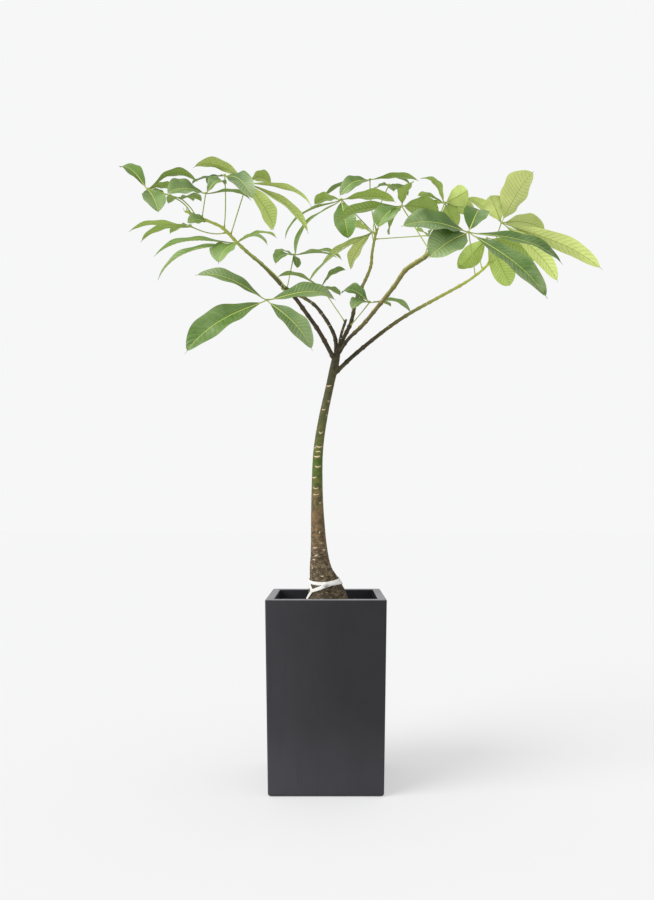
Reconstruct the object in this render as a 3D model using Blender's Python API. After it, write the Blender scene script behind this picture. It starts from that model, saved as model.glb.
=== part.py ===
"""A potted money tree: a tall square planter, its soil, a branching stem with a tie round it, and its leaves.

Metres, +Z up. The origin is the middle of the planter's underside, and -Y faces the viewer.
The stem with its branches is one piece. Each compound leaf is a piece of its own, which meets a small
cushion on its branch face to face, where a real leaf would drop off.
"""
import math

import bmesh
import bpy
from mathutils import Vector

# Driving dimensions
POT_WIDTH = 0.300
POT_FOOT_WIDTH = 0.287
POT_HEIGHT = 0.487
POT_WALL = 0.021
POT_FLOOR = 0.018
POT_EDGE = 0.0025
ROUND_EDGE_CUT = 1 - math.sqrt(0.5)
POT_CORNER = 0.005
INNER_CORNER = 0.003
FOOT_EDGE = 0.008
DRAIN_RADIUS = 0.008
DRAIN_OFFSET = 0.070
SOIL_BELOW_RIM = 0.052
SOIL_SWELL = 0.006
STUMP_RADIUS = 0.060
STUMP_DEPTH = 0.050
FIT_GAP = 0.0003
# Soil surface from the planter's wall to the stem: set in from the wall, share of the swell it lies
# below the top, share of the way from square to round, and how much narrower the round is
SOIL_SURFACE = ((0.000, 1.0, 0.00, 0.000), (0.010, 0.3, 0.10, 0.000), (0.025, 0.5, 0.40, 0.015),
                (0.040, 0.1, 0.75, 0.033))
SOIL_LIP = 0.010
SOIL_LIP_DROP = 0.001

# Resolution
CORNER_STEPS = 5
STEM_SIDES = 4 * CORNER_STEPS
BRANCH_SIDES = 6
PETIOLE_SIDES = 5
PETIOLE_STEPS = 4
DRAIN_SIDES = 16
PROBE = 0.002

# Stem: height, middle across, middle back, radius
STEM = (
    (0.435, 0.004, 0.000, 0.0600),
    (0.475, 0.002, 0.000, 0.0540),
    (0.500, 0.000, 0.000, 0.0470),
    (0.528, -0.006, 0.000, 0.0384),
    (0.558, -0.015, 0.000, 0.0290),
    (0.608, -0.019, 0.002, 0.0220),
    (0.695, -0.023, 0.006, 0.0174),
    (0.776, -0.024, 0.008, 0.0148),
    (0.866, -0.021, 0.008, 0.0132),
    (0.948, -0.009, 0.006, 0.0120),
    (1.037, 0.010, 0.003, 0.0110),
    (1.095, 0.023, 0.000, 0.0115),
    (1.125, 0.029, 0.002, 0.0090),
)
STEM_STATIONS = 21
# Above 1, the stations lie closer together at the foot of the stem than at its fork
STATION_CROWDING = 1.25
# Root lobes at the foot of the stem: how many round it, how strong, turned by
ROOT_LOBES = ((3, 0.055, 0.6), (5, 0.030, 2.0))
LOBES_START = 0.438
LOBES_FULL = 0.470
LOBES_END = 0.640

# Branches: places along each, then the radius at its foot and at its tip
FORK = (0.025, 0.000, 1.098)
BRANCHES = {
    "west": (
        (FORK, (-0.016, -0.030, 1.168), (-0.047, -0.060, 1.207), (-0.088, -0.090, 1.256),
         (-0.113, -0.100, 1.275), (-0.160, -0.110, 1.322), (-0.194, -0.120, 1.348),
         (-0.222, -0.130, 1.372), (-0.256, -0.140, 1.404), (-0.284, -0.145, 1.416),
         (-0.314, -0.150, 1.427), (-0.339, -0.155, 1.437)),
        0.0062, 0.0032),
    "inner": (
        ((0.027, 0.002, 1.112), (0.021, 0.030, 1.176), (-0.023, 0.060, 1.254),
         (-0.058, 0.075, 1.285), (-0.088, 0.085, 1.300), (-0.119, 0.095, 1.316)),
        0.0058, 0.0040),
    "stub": (
        ((0.030, 0.000, 1.116), (0.040, -0.012, 1.170), (0.051, -0.018, 1.202)),
        0.0046, 0.0034),
    "centre": (
        ((0.028, 0.002, 1.114), (0.044, 0.018, 1.160), (0.066, 0.040, 1.211),
         (0.083, 0.080, 1.287), (0.098, 0.100, 1.323), (0.116, 0.120, 1.365),
         (0.125, 0.130, 1.394), (0.128, 0.140, 1.428), (0.137, 0.150, 1.478), (0.143, 0.155, 1.500)),
        0.0058, 0.0036),
    "south": (
        ((0.027, 0.000, 1.110), (0.055, -0.025, 1.150), (0.095, -0.050, 1.185),
         (0.138, -0.080, 1.232), (0.172, -0.100, 1.271), (0.197, -0.115, 1.305),
         (0.217, -0.120, 1.319), (0.244, -0.130, 1.334), (0.262, -0.135, 1.350)),
        0.0047, 0.0060),
    "east": (
        ((0.017, 0.000, 1.062), (0.072, 0.020, 1.118), (0.157, 0.050, 1.192),
         (0.222, 0.070, 1.240), (0.305, 0.090, 1.290), (0.381, 0.100, 1.334),
         (0.424, 0.110, 1.366), (0.453, 0.115, 1.394)),
        0.0060, 0.0034),
}
# Swellings where shoots were once cut back: branch, share along it, radius
KNOTS = (("west", 0.41, 0.0078), ("south", 0.78, 0.0072), ("east", 0.80, 0.0058))
# The bud at each tip, in tip radii: how far past the tip, how wide
BUD = ((0.9, 0.85), (1.9, 0.25))
# The direction at a tip is read a little before it
NEAR_TIP = 0.99

# Leaves
PETIOLE_FOOT_RADIUS = 0.0024
PETIOLE_FOOT_LENGTH = 0.004
PETIOLE_FOOT_TAPER = 0.85
PETIOLE_RADIUS = 0.0014
# Share of a petiole's length over which it keeps to the way it leaves the branch
PETIOLE_PULL = 0.45
CUSHION_RADIUS = 0.0027
CUSHION_RISE = 0.0010
LEAST_ROOT_ANGLE = math.radians(60)
HUB_RADIUS = 0.0042
BLADE_THICKNESS = 0.0010
STALK_HALF_WIDTH = 0.0013
TIP_HALF_WIDTH = 0.0008
STALK_SHARE = 0.07
WIDEST_AT = 0.60
SHOULDER = 1.05
ARCH_SKEW = 1.5
FOLD = math.radians(16)
BLADE_STATIONS = (0.0, 0.20, 0.45, 0.70, 0.90, 1.0)
SHORT_BLADE_STATIONS = (0.0, 0.28, 0.60, 0.86, 1.0)
SHORT_BLADE = 0.085
BLADE_RING = 6
BLADE_RING_LOWER = (3, 4)
CENTIMETRE = 0.01

# Each leaf: branch, share along it, hub in metres, the way its upper face looks, then its leaflets.
# A leaflet: its tip's reach from the hub across, up and towards the viewer, its width and its arch in
# centimetres, and the degrees by which its upper face is turned to the viewer, or away if negative.
LEAVES = {
    "leaf_west_1": ("west", 0.985, (-0.430, -0.190, 1.480), (-0.2, 0.1, 0.97), (
        (-8.0, 7.5, -5.5, 4.6, 1.5, 25), (11.5, 3.5, -4.5, 3.8, 2.8, 0), (6.0, 1.5, -5.0, 3.2, 1.0, 0),
        (4.5, -9.0, 8.5, 5.5, 1.0, 0), (3.0, -0.5, -5.5, 3.0, 0.5, 0))),
    "leaf_west_2": ("west", 0.965, (-0.360, -0.130, 1.480), (0.0, 0.0, 1.0), (
        (-4.5, 1.0, -6.5, 3.0, 1.0, 0), (2.0, 2.0, -7.5, 3.0, 1.0, 0), (4.5, 1.0, -5.0, 3.0, 1.0, 0))),
    "leaf_west_3": ("west", 0.93, (-0.295, -0.150, 1.485), (0.0, -0.3, 0.95), (
        (-8.5, -2.6, 6.0, 6.4, 1.4, 35), (4.5, 3.0, -3.0, 4.5, 2.0, 20), (11.0, -1.0, -2.0, 2.6, 1.4, -10))),
    "leaf_west_4": ("west", 0.90, (-0.285, -0.175, 1.408), (0.0, -0.6, 0.8), (
        (-4.8, -1.2, 2.0, 4.2, 0.6, 20),)),
    "leaf_west_5": ("west", 0.80, (-0.330, -0.160, 1.400), (0.0, 0.1, 1.0), (
        (-14.0, -3.0, 5.0, 3.0, 1.4, 0), (-12.5, -3.5, -1.0, 3.0, 1.6, 0), (-6.0, -0.5, -4.0, 2.6, 0.8, 0),
        (-3.0, 1.5, -5.5, 2.2, 0.6, 0))),
    "leaf_west_6": ("west", 0.82, (-0.255, -0.100, 1.550), (0.0, -0.5, 0.85), (
        (8.5, -10.5, 10.5, 5.2, 2.6, 15), (-9.5, 0.5, -7.0, 3.0, 0.6, 0), (-5.5, 1.0, -9.5, 3.2, 1.0, 0))),
    "leaf_west_7": ("west", 0.78, (-0.200, -0.080, 1.541), (0.1, 0.25, 0.95), (
        (-13.0, 1.5, 5.0, 4.0, 2.5, -5), (6.0, 1.0, -4.0, 4.2, 2.0, -10), (16.5, -8.0, 4.5, 2.8, 2.4, 0),
        (7.0, -14.0, 5.0, 5.4, 1.4, -50), (15.5, -12.0, -4.0, 3.2, 2.6, 0))),
    "leaf_west_8": ("west", 0.437, (-0.215, -0.210, 1.345), (-0.1, -0.35, 0.95), (
        (-3.5, -6.5, 4.5, 6.8, 1.2, 10), (-18.5, -5.0, 5.0, 4.6, 2.2, 10), (-19.0, -8.5, -2.0, 4.4, 2.8, 10),
        (9.5, 3.0, -6.0, 3.2, 1.6, 0), (8.0, -2.0, 4.0, 3.0, 1.8, 0))),
    "leaf_west_9": ("west", 0.383, (-0.140, -0.220, 1.205), (-0.1, -0.75, 0.65), (
        (-18.0, -14.5, 8.5, 7.6, 2.4, 10), (-16.5, 5.0, 3.0, 4.6, 2.2, 0), (11.0, -13.0, 4.5, 5.8, 2.2, -5),
        (16.5, 1.0, -4.5, 5.5, 3.0, 10))),
    "leaf_inner_1": ("inner", 0.96, (-0.090, 0.120, 1.419), (0.0, -0.1, 1.0), (
        (-5.0, -4.0, 4.0, 4.8, 1.5, 20), (-6.0, 1.5, -4.5, 2.5, 1.0, 0), (13.5, 0.5, -7.0, 4.0, 2.0, 10),
        (1.0, -4.5, 2.0, 2.5, 0.5, 0), (12.0, -2.0, 3.5, 3.2, 1.0, 0))),
    "leaf_stub_1": ("stub", 0.96, (-0.015, 0.055, 1.313), (0.0, 0.1, 1.0), (
        (-12.0, 3.0, -2.0, 3.5, 1.5, 0), (7.0, 5.0, -2.0, 3.5, 1.2, -15), (-5.0, -4.0, 4.0, 3.0, 1.0, 0),
        (5.5, -1.0, -6.0, 2.6, 0.6, 0))),
    "leaf_centre_1": ("centre", 0.22, (0.115, -0.005, 1.255), (0.0, -0.2, 1.0), (
        (-7.5, 3.0, -3.0, 5.2, 2.0, 30), (-5.0, -3.0, 4.0, 5.0, 1.2, 20), (10.5, -4.0, 4.0, 3.2, 2.0, 15),
        (6.0, 0.0, -5.0, 2.5, 0.6, 0))),
    "leaf_centre_2": ("centre", 0.90, (0.125, 0.100, 1.475), (-0.1, 0.1, 1.0), (
        (-14.0, -8.0, -4.5, 3.4, 1.2, 0), (-17.5, -17.0, 9.0, 3.8, 1.5, 10),
        (-6.0, -11.5, 3.5, 5.0, 1.2, -45), (-6.0, 2.5, -3.5, 4.0, 1.0, -20))),
    "leaf_centre_3": ("centre", 0.93, (0.280, 0.100, 1.465), (0.0, 0.2, 1.0), (
        (4.0, 5.0, -5.0, 3.5, 0.5, -20), (7.5, 1.5, -6.5, 3.5, 0.5, -20), (-2.5, 3.5, -6.5, 3.0, 0.5, -20))),
    "leaf_centre_4": ("centre", 0.96, (0.040, 0.060, 1.550), (-0.2, -0.1, 1.0), (
        (-7.5, 0.5, -5.5, 4.5, 1.2, -20), (-15.0, -12.5, 5.0, 3.2, 2.6, 0), (-12.0, -18.5, 8.0, 3.2, 3.2, 0),
        (2.0, -12.0, 3.0, 6.2, 1.2, 0), (15.0, -0.5, -1.0, 5.0, 1.4, -20))),
    "leaf_centre_5": ("centre", 0.985, (0.120, 0.100, 1.620), (0.0, 0.0, 1.0), (
        (-8.5, -6.0, 3.0, 4.4, 2.4, 60), (-6.5, -2.0, -5.5, 2.2, 0.8, 0), (-13.0, -3.0, -6.0, 2.6, 1.6, 0),
        (13.0, -2.5, 5.0, 3.0, 1.2, -10), (12.0, 0.0, -4.5, 2.4, 1.6, 0))),
    "leaf_centre_6": ("centre", 0.975, (0.180, 0.200, 1.645), (0.0, 0.1, 1.0), (
        (-4.5, -3.5, 3.5, 3.0, 0.8, 0), (6.0, -1.5, -4.5, 3.2, 0.8, 0), (2.0, 1.0, -8.0, 3.5, 0.8, 0))),
    "leaf_south_1": ("south", 0.985, (0.195, -0.040, 1.495), (0.0, 0.1, 1.0), (
        (2.5, 3.6, 6.5, 5.4, 0.8, 30), (-17.5, -6.5, 3.5, 4.4, 2.4, -15), (-6.5, -8.0, 6.0, 6.5, 1.5, 35),
        (-3.5, -9.5, 6.0, 5.0, 0.8, -60), (10.5, -0.5, -4.0, 6.0, 1.2, -35))),
    "leaf_south_2": ("south", 0.93, (0.310, -0.020, 1.510), (0.0, 0.3, 1.0), (
        (-7.0, 4.5, 4.5, 4.4, 1.8, 35), (-6.5, 4.5, -7.0, 3.2, 0.6, 0), (5.5, 2.0, 3.5, 5.5, 0.3, -60),
        (4.0, -5.0, -5.0, 5.0, 1.0, -20), (9.0, -1.0, -5.0, 4.5, 1.0, -25), (-6.0, 1.0, -5.0, 3.0, 0.5, 0))),
    "leaf_east_1": ("east", 0.90, (0.345, -0.180, 1.380), (0.0, -0.8, 0.6), (
        (-17.0, -1.0, 6.5, 7.2, 2.0, 10), (-10.5, -8.5, 6.5, 8.6, 1.5, 10), (3.5, 7.0, -4.5, 6.4, 1.2, 0),
        (24.0, -6.8, -4.0, 5.0, 2.5, -5), (17.5, -18.0, 6.5, 6.4, 2.0, 0))),
    "leaf_east_2": ("east", 0.95, (0.450, 0.140, 1.472), (0.0, 0.3, 0.95), (
        (-7.0, -7.5, -2.0, 6.2, 1.0, -60), (-7.5, -7.0, -6.0, 5.4, 1.0, -50),
        (6.5, -14.0, 1.0, 6.5, 1.5, -40), (19.0, -6.0, -3.0, 5.5, 2.0, -30),
        (20.0, -4.0, -8.0, 4.5, 1.6, -20))),
    "leaf_east_3": ("east", 0.985, (0.466, 0.020, 1.473), (0.0, 0.6, 0.8), (
        (-9.0, 8.0, -4.0, 3.2, 1.5, 0), (-3.5, 6.5, 2.0, 5.4, 0.8, 0), (8.0, 12.5, 3.0, 10.0, 1.0, 10),
        (14.0, 0.5, -8.0, 5.2, 1.8, 0), (26.0, -13.5, 3.0, 5.0, 3.2, 0), (14.5, -16.5, 2.0, 4.6, 2.5, 0))),
}

# Tie: a flat tape wound twice round the foot of the stem and knotted in front
TAPE_WIDTH = 0.0090
TAPE_THICKNESS = 0.0012
TAPE_CLEARANCE = 0.0006
TAPE_STEP_DEGREES = 12
# The lower turn and the loose end lie over the tape under them: lift in tape thicknesses
LOWER_TURN_LIFT = 0.4
LOOSE_END_LIFT = 0.8
FRONT = math.radians(270)
# The upper turn: middle height, how much lower in front than behind, how much higher on the right
UPPER_TURN = (0.5250, 0.0080, 0.0020)
# Routes over the stem's surface: turn round it in degrees (270 is the front), height
LOWER_TURN = ((222, 0.4975), (245, 0.5035), (270, 0.5110), (300, 0.5165), (340, 0.5185),
              (400, 0.5200), (450, 0.5220), (500, 0.5230), (530, 0.5235))
LOOSE_END = ((186, 0.5235), (198, 0.5180), (212, 0.5080), (220, 0.4985), (215, 0.4890),
             (207, 0.4800), (203, 0.4720))
KNOT_HEIGHT = 0.5140
KNOT_SIZE = (0.013, 0.006, 0.011)


def clear_scene():
    for item in list(bpy.data.objects):
        bpy.data.objects.remove(item, do_unlink=True)


def finish(name, colour, roughness):
    """A plain coloured surface."""
    material = bpy.data.materials.new(name)
    material.use_nodes = True
    surface = material.node_tree.nodes["Principled BSDF"]
    surface.inputs["Base Color"].default_value = (*colour, 1.0)
    surface.inputs["Roughness"].default_value = roughness
    surface.inputs["Metallic"].default_value = 0.0
    return material


def add_object(name, points, faces, material=None):
    """An object from points and faces, its faces turned outward."""
    mesh = bpy.data.meshes.new(name)
    mesh.from_pydata([tuple(point) for point in points], [], faces)
    shape = bmesh.new()
    shape.from_mesh(mesh)
    bmesh.ops.recalc_face_normals(shape, faces=shape.faces)
    shape.to_mesh(mesh)
    shape.free()
    item = bpy.data.objects.new(name, mesh)
    bpy.context.collection.objects.link(item)
    if material:
        mesh.materials.append(material)
    return item


def skin(rings, closed=False):
    """Points and triangles of a skin over rings of equal count, capped at its ends or closed on itself."""
    count = len(rings[0])
    points = [point for ring in rings for point in ring]
    faces = []
    spans = len(rings) if closed else len(rings) - 1
    for row in range(spans):
        lower = row * count
        upper = ((row + 1) % len(rings)) * count
        for side in range(count):
            ahead = (side + 1) % count
            faces.append((lower + side, lower + ahead, upper + ahead))
            faces.append((lower + side, upper + ahead, upper + side))
    if not closed:
        last = (len(rings) - 1) * count
        faces.append(tuple(range(count - 1, -1, -1)))
        faces.append(tuple(range(last, last + count)))
    return points, faces


def smooth_row(rows, at):
    """Reads a table of rows, whose first value is the place, along a smooth curve through them."""
    if at <= rows[0][0]:
        return rows[0][1:]
    if at >= rows[-1][0]:
        return rows[-1][1:]
    low = max(index for index, row in enumerate(rows) if row[0] <= at)
    span = rows[low + 1][0] - rows[low][0]
    step = (at - rows[low][0]) / span
    values = []
    for column in range(1, len(rows[0])):
        start, end = rows[low][column], rows[low + 1][column]
        before = rows[max(low - 1, 0)]
        after = rows[min(low + 2, len(rows) - 1)]
        slope_in = (end - before[column]) / (rows[low + 1][0] - before[0]) * span
        slope_out = (after[column] - start) / (after[0] - rows[low][0]) * span
        values.append((2 * step**3 - 3 * step**2 + 1) * start + (step**3 - 2 * step**2 + step) * slope_in
                      + (3 * step**2 - 2 * step**3) * end + (step**3 - step**2) * slope_out)
    return values


def ramp(value, start, end):
    """0 before start, 1 after end, eased between."""
    share = min(max((value - start) / (end - start), 0.0), 1.0)
    return share * share * (3 - 2 * share)


def join_as_one(name, main, others, material):
    """Unites the other objects with the main one in one closed body."""
    group = bpy.data.collections.new(name + "_pieces")
    bpy.context.scene.collection.children.link(group)
    for piece in others:
        bpy.context.collection.objects.unlink(piece)
        group.objects.link(piece)
    union = main.modifiers.new("Union", "BOOLEAN")
    union.operation = "UNION"
    union.operand_type = "COLLECTION"
    union.collection = group
    union.solver = "EXACT"
    bpy.context.view_layer.update()
    evaluated = main.evaluated_get(bpy.context.evaluated_depsgraph_get())
    mesh = bpy.data.meshes.new_from_object(evaluated)
    for piece in list(group.objects) + [main]:
        bpy.data.objects.remove(piece, do_unlink=True)
    bpy.data.collections.remove(group)
    mesh.name = name
    mesh.materials.clear()
    mesh.materials.append(material)
    item = bpy.data.objects.new(name, mesh)
    bpy.context.collection.objects.link(item)
    return item


# Planter and soil

def square_ring(half, corner, height, round_share=0.0, radius=0.0):
    """A level square ring with rounded corners, or part of the way from it to a round ring."""
    ring = []
    for quarter in range(4):
        for step in range(CORNER_STEPS):
            turn = math.radians(90 * (quarter + step / (CORNER_STEPS - 1)))
            sign_x = 1 if quarter in (0, 3) else -1
            sign_y = 1 if quarter in (0, 1) else -1
            square = Vector((sign_x * (half - corner) + corner * math.cos(turn),
                             sign_y * (half - corner) + corner * math.sin(turn), height))
            even_turn = math.radians(90 * (quarter + (step + 0.5) / CORNER_STEPS))
            circle = Vector((STEM[0][1] + radius * math.cos(even_turn),
                             STEM[0][2] + radius * math.sin(even_turn), height))
            ring.append(square.lerp(circle, round_share))
    return ring


def pot_half_width(height):
    """Half the planter's outer width at a height."""
    share = height / POT_HEIGHT
    return (POT_FOOT_WIDTH + (POT_WIDTH - POT_FOOT_WIDTH) * share) / 2


def build_pot(material):
    rim = POT_HEIGHT - POT_EDGE
    half = pot_half_width(rim)
    cut_back = POT_EDGE * ROUND_EDGE_CUT
    foot_cut = FOOT_EDGE * ROUND_EDGE_CUT
    rings = [
        square_ring(pot_half_width(0) - FOOT_EDGE, POT_CORNER, 0.0),
        square_ring(pot_half_width(foot_cut) - foot_cut, POT_CORNER, foot_cut),
        square_ring(pot_half_width(FOOT_EDGE), POT_CORNER, FOOT_EDGE),
        square_ring(half, POT_CORNER, rim),
        square_ring(half - cut_back, POT_CORNER, POT_HEIGHT - cut_back),
        square_ring(half - POT_EDGE, POT_CORNER, POT_HEIGHT),
        square_ring(half - POT_WALL + POT_EDGE, INNER_CORNER, POT_HEIGHT),
        square_ring(half - POT_WALL, INNER_CORNER, rim),
        square_ring(pot_half_width(POT_FLOOR) - POT_WALL, INNER_CORNER, POT_FLOOR),
    ]
    pot = add_object("pot", *skin(rings), material)
    for number, (across, back) in enumerate(((1, 1), (-1, 1), (-1, -1), (1, -1))):
        bpy.ops.mesh.primitive_cylinder_add(
            vertices=DRAIN_SIDES, radius=DRAIN_RADIUS, depth=POT_FLOOR * 2,
            location=(across * DRAIN_OFFSET, back * DRAIN_OFFSET, POT_FLOOR / 2))
        drill = bpy.context.object
        drill.name = f"drain_cutter_{number}"
        drill.hide_render = True
        drill.display_type = "WIRE"
        cut = pot.modifiers.new(drill.name, "BOOLEAN")
        cut.operation = "DIFFERENCE"
        cut.object = drill
        cut.solver = "EXACT"
    return pot


def build_soil(material):
    top = POT_HEIGHT - SOIL_BELOW_RIM
    low = POT_FLOOR + FIT_GAP
    hole = STUMP_RADIUS + FIT_GAP
    half_low = pot_half_width(low) - POT_WALL - FIT_GAP
    half_top = pot_half_width(top) - POT_WALL - FIT_GAP
    rings = [square_ring(half_low, INNER_CORNER, low)]
    for set_in, sunk, round_share, narrower in SOIL_SURFACE:
        rings.append(square_ring(half_top - set_in, INNER_CORNER, top - SOIL_SWELL * sunk,
                                 round_share, half_top - narrower))
    bottom = top - STUMP_DEPTH - FIT_GAP
    for radius, height in ((hole + SOIL_LIP, top), (hole, top - SOIL_LIP_DROP), (hole, bottom)):
        rings.append(square_ring(half_top, INNER_CORNER, height, 1.0, radius))
    return add_object("soil", *skin(rings), material)


# Stem, branches and leaf cushions

def stem_point(height, turn, clearance=0.0):
    """A point on the stem's surface, or a little outside it."""
    across, back, radius = smooth_row(STEM, height)
    lobes = ramp(height, LOBES_START, LOBES_FULL) * (1 - ramp(height, LOBES_FULL, LOBES_END))
    bulge = sum(strength * math.cos(count * turn + start) for count, strength, start in ROOT_LOBES)
    reach = radius * (1 + lobes * bulge) + clearance
    return Vector((across + reach * math.cos(turn), back + reach * math.sin(turn), height))


def stem_ring(height):
    return [stem_point(height, math.tau * (side + 0.5) / STEM_SIDES) for side in range(STEM_SIDES)]


def smooth_path(places):
    """Rows of length and place for a smooth curve through hand-chosen places, and its whole length."""
    places = [Vector(place) for place in places]
    lengths = [0.0]
    for before, after in zip(places, places[1:]):
        lengths.append(lengths[-1] + (after - before).length)
    rows = [(length, *place) for length, place in zip(lengths, places)]
    return rows, lengths[-1]


def path_point(rows, length):
    return Vector(smooth_row(rows, length))


def path_direction(rows, length):
    return (path_point(rows, length + PROBE) - path_point(rows, length - PROBE)).normalized()


def tube_rings(places, radii, sides):
    """Rings square to a path, turned as little as possible from one to the next."""
    rings = []
    across = None
    for index, place in enumerate(places):
        before = places[max(index - 1, 0)]
        after = places[min(index + 1, len(places) - 1)]
        along = (after - before).normalized()
        if across is None:
            across = along.orthogonal().normalized()
        across = (across - along * across.dot(along)).normalized()
        over = along.cross(across)
        rings.append([place + radii[index] * (across * math.cos(math.tau * side / sides)
                                              + over * math.sin(math.tau * side / sides))
                      for side in range(sides)])
    return rings


def branch_radius(name, share):
    _, foot, tip = BRANCHES[name]
    return foot + (tip - foot) * share


def branch_object(name):
    places, _, tip_radius = BRANCHES[name]
    rows, length = smooth_path(places)
    points = [Vector(place) for place in places]
    radii = [branch_radius(name, row[0] / length) for row in rows]
    tip = points[-1]
    ahead = path_direction(rows, length * NEAR_TIP)
    for past, wide in BUD:
        points.append(tip + ahead * tip_radius * past)
        radii.append(tip_radius * wide)
    return add_object(name, *skin(tube_rings(points, radii, BRANCH_SIDES)))


def leaf_root(leaf):
    """Where a leaf meets its cushion: the branch's middle, the way it leaves and how far out it starts."""
    branch, share, hub, _, _ = leaf
    rows, length = smooth_path(BRANCHES[branch][0])
    middle = path_point(rows, share * length)
    along = path_direction(rows, min(share, NEAR_TIP) * length)
    wish = Vector(hub) - middle
    aside = (wish - along * wish.dot(along)).normalized()
    angle = min(max(wish.angle(along), LEAST_ROOT_ANGLE), math.pi - LEAST_ROOT_ANGLE)
    outward = along * math.cos(angle) + aside * math.sin(angle)
    reach = (branch_radius(branch, share) + CUSHION_RISE
             + PETIOLE_FOOT_RADIUS * abs(math.cos(angle))) / math.sin(angle)
    return middle, outward, reach


def cushion_object(name, leaf):
    middle, outward, reach = leaf_root(leaf)
    places = [middle, middle + outward * reach]
    return add_object(name, *skin(tube_rings(places, [CUSHION_RADIUS] * 2, BRANCH_SIDES)))


def ball_object(name, place, radius, detail=1):
    bpy.ops.mesh.primitive_ico_sphere_add(subdivisions=detail, radius=radius, location=place)
    ball = bpy.context.object
    ball.name = name
    return ball


def build_stem(material):
    foot = STEM[0][0]
    rise = STEM[-1][0] - foot
    heights = [foot - STUMP_DEPTH]
    for step in range(STEM_STATIONS + 1):
        heights.append(foot + rise * (step / STEM_STATIONS) ** STATION_CROWDING)
    stem = add_object("stem_core", *skin([stem_ring(height) for height in heights]))
    others = [branch_object(name) for name in BRANCHES]
    for branch, share, radius in KNOTS:
        rows, length = smooth_path(BRANCHES[branch][0])
        others.append(ball_object(branch + "_knot", path_point(rows, share * length), radius, 2))
    others += [cushion_object(name + "_cushion", leaf) for name, leaf in LEAVES.items()]
    return join_as_one("stem", stem, others, material)


# Tie

def tape_section(place, across, lift):
    """Four points round the tape's section where it lies on the stem: place is turn in radians and height."""
    turn, height = place
    radius = smooth_row(STEM, height)[2]
    inner = TAPE_CLEARANCE + lift
    levels = (-TAPE_WIDTH / 2, TAPE_WIDTH / 2)
    surface = [(height + across[1] * level, turn + across[0] * level / radius) for level in levels]
    return ([stem_point(*spot, inner) for spot in surface]
            + [stem_point(*spot, inner + TAPE_THICKNESS) for spot in reversed(surface)])


def tape_object(name, route, lift, closed=False):
    """Tape laid along a route of turns and heights."""
    rings = []
    count = len(route)
    for index, place in enumerate(route):
        before = route[index - 1] if closed or index else place
        after = route[(index + 1) % count] if closed or index + 1 < count else place
        radius = smooth_row(STEM, place[1])[2]
        sideways = (after[0] - before[0] + math.pi) % math.tau - math.pi
        along = Vector((sideways * radius, after[1] - before[1])).normalized()
        rings.append(tape_section(place, (-along.y, along.x), lift))
    return add_object(name, *skin(rings, closed))


def tape_route(places):
    """A smooth route through hand-chosen turns and heights, in radians and metres."""
    lengths = [0.0]
    for before, after in zip(places, places[1:]):
        sideways = math.radians(after[0] - before[0]) * smooth_row(STEM, after[1])[2]
        lengths.append(lengths[-1] + math.hypot(sideways, after[1] - before[1]))
    rows = [(length, math.radians(turn), height) for length, (turn, height) in zip(lengths, places)]
    step = math.radians(TAPE_STEP_DEGREES) * smooth_row(STEM, places[0][1])[2]
    count = math.ceil(lengths[-1] / step)
    return [tuple(smooth_row(rows, lengths[-1] * index / count)) for index in range(count + 1)]


def build_tie(material):
    middle, dip, rise = UPPER_TURN
    turns = [math.radians(TAPE_STEP_DEGREES * step) for step in range(round(360 / TAPE_STEP_DEGREES))]
    upper_route = [(turn, middle - dip * math.cos(turn - FRONT) + rise * math.cos(turn)) for turn in turns]
    upper = tape_object("tape_upper", upper_route, 0.0, closed=True)
    lower = tape_object("tape_lower", tape_route(LOWER_TURN), TAPE_THICKNESS * LOWER_TURN_LIFT)
    loose_end = tape_object("tape_end", tape_route(LOOSE_END), TAPE_THICKNESS * LOOSE_END_LIFT)
    place = stem_point(KNOT_HEIGHT, FRONT, TAPE_CLEARANCE + KNOT_SIZE[1] / 2)
    knot = ball_object("tape_knot", place, 0.5, 2)
    knot.scale = KNOT_SIZE
    return join_as_one("tie", upper, [lower, loose_end, knot], material)


# Leaves

def blade_half_width(share, width):
    """Half the width of a leaflet at a share of its length: a short stalk, a broad blade and a drip tip."""
    if share <= STALK_SHARE:
        return STALK_HALF_WIDTH
    along = (share - STALK_SHARE) / (1 - STALK_SHARE)
    taper = SHOULDER * (1 - WIDEST_AT) / WIDEST_AT
    swell = (along / WIDEST_AT) ** SHOULDER * ((1 - along) / (1 - WIDEST_AT)) ** taper
    least = STALK_HALF_WIDTH + (TIP_HALF_WIDTH - STALK_HALF_WIDTH) * along
    return max(width / 2 * swell, least)


def arch_rise(share):
    """How far the arch has risen at a share of the leaflet's length, 1 where it is highest."""
    crest = ARCH_SKEW / (1 + ARCH_SKEW)
    return share**ARCH_SKEW * (1 - share) / (crest**ARCH_SKEW * (1 - crest))


def leaflet_frame(up, leaflet):
    """A leaflet's reach and the ways its right edge and its upper face look."""
    across, rise, toward = (value * CENTIMETRE for value in leaflet[:3])
    reach = Vector((across, -toward, rise))
    side = reach.cross(up).normalized()
    over = side.cross(reach).normalized()
    aside = -side if side.y > 0 else side
    shown = math.radians(leaflet[5])
    over = over * math.cos(shown) + aside * math.sin(shown)
    return reach, reach.cross(over).normalized(), over


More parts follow.
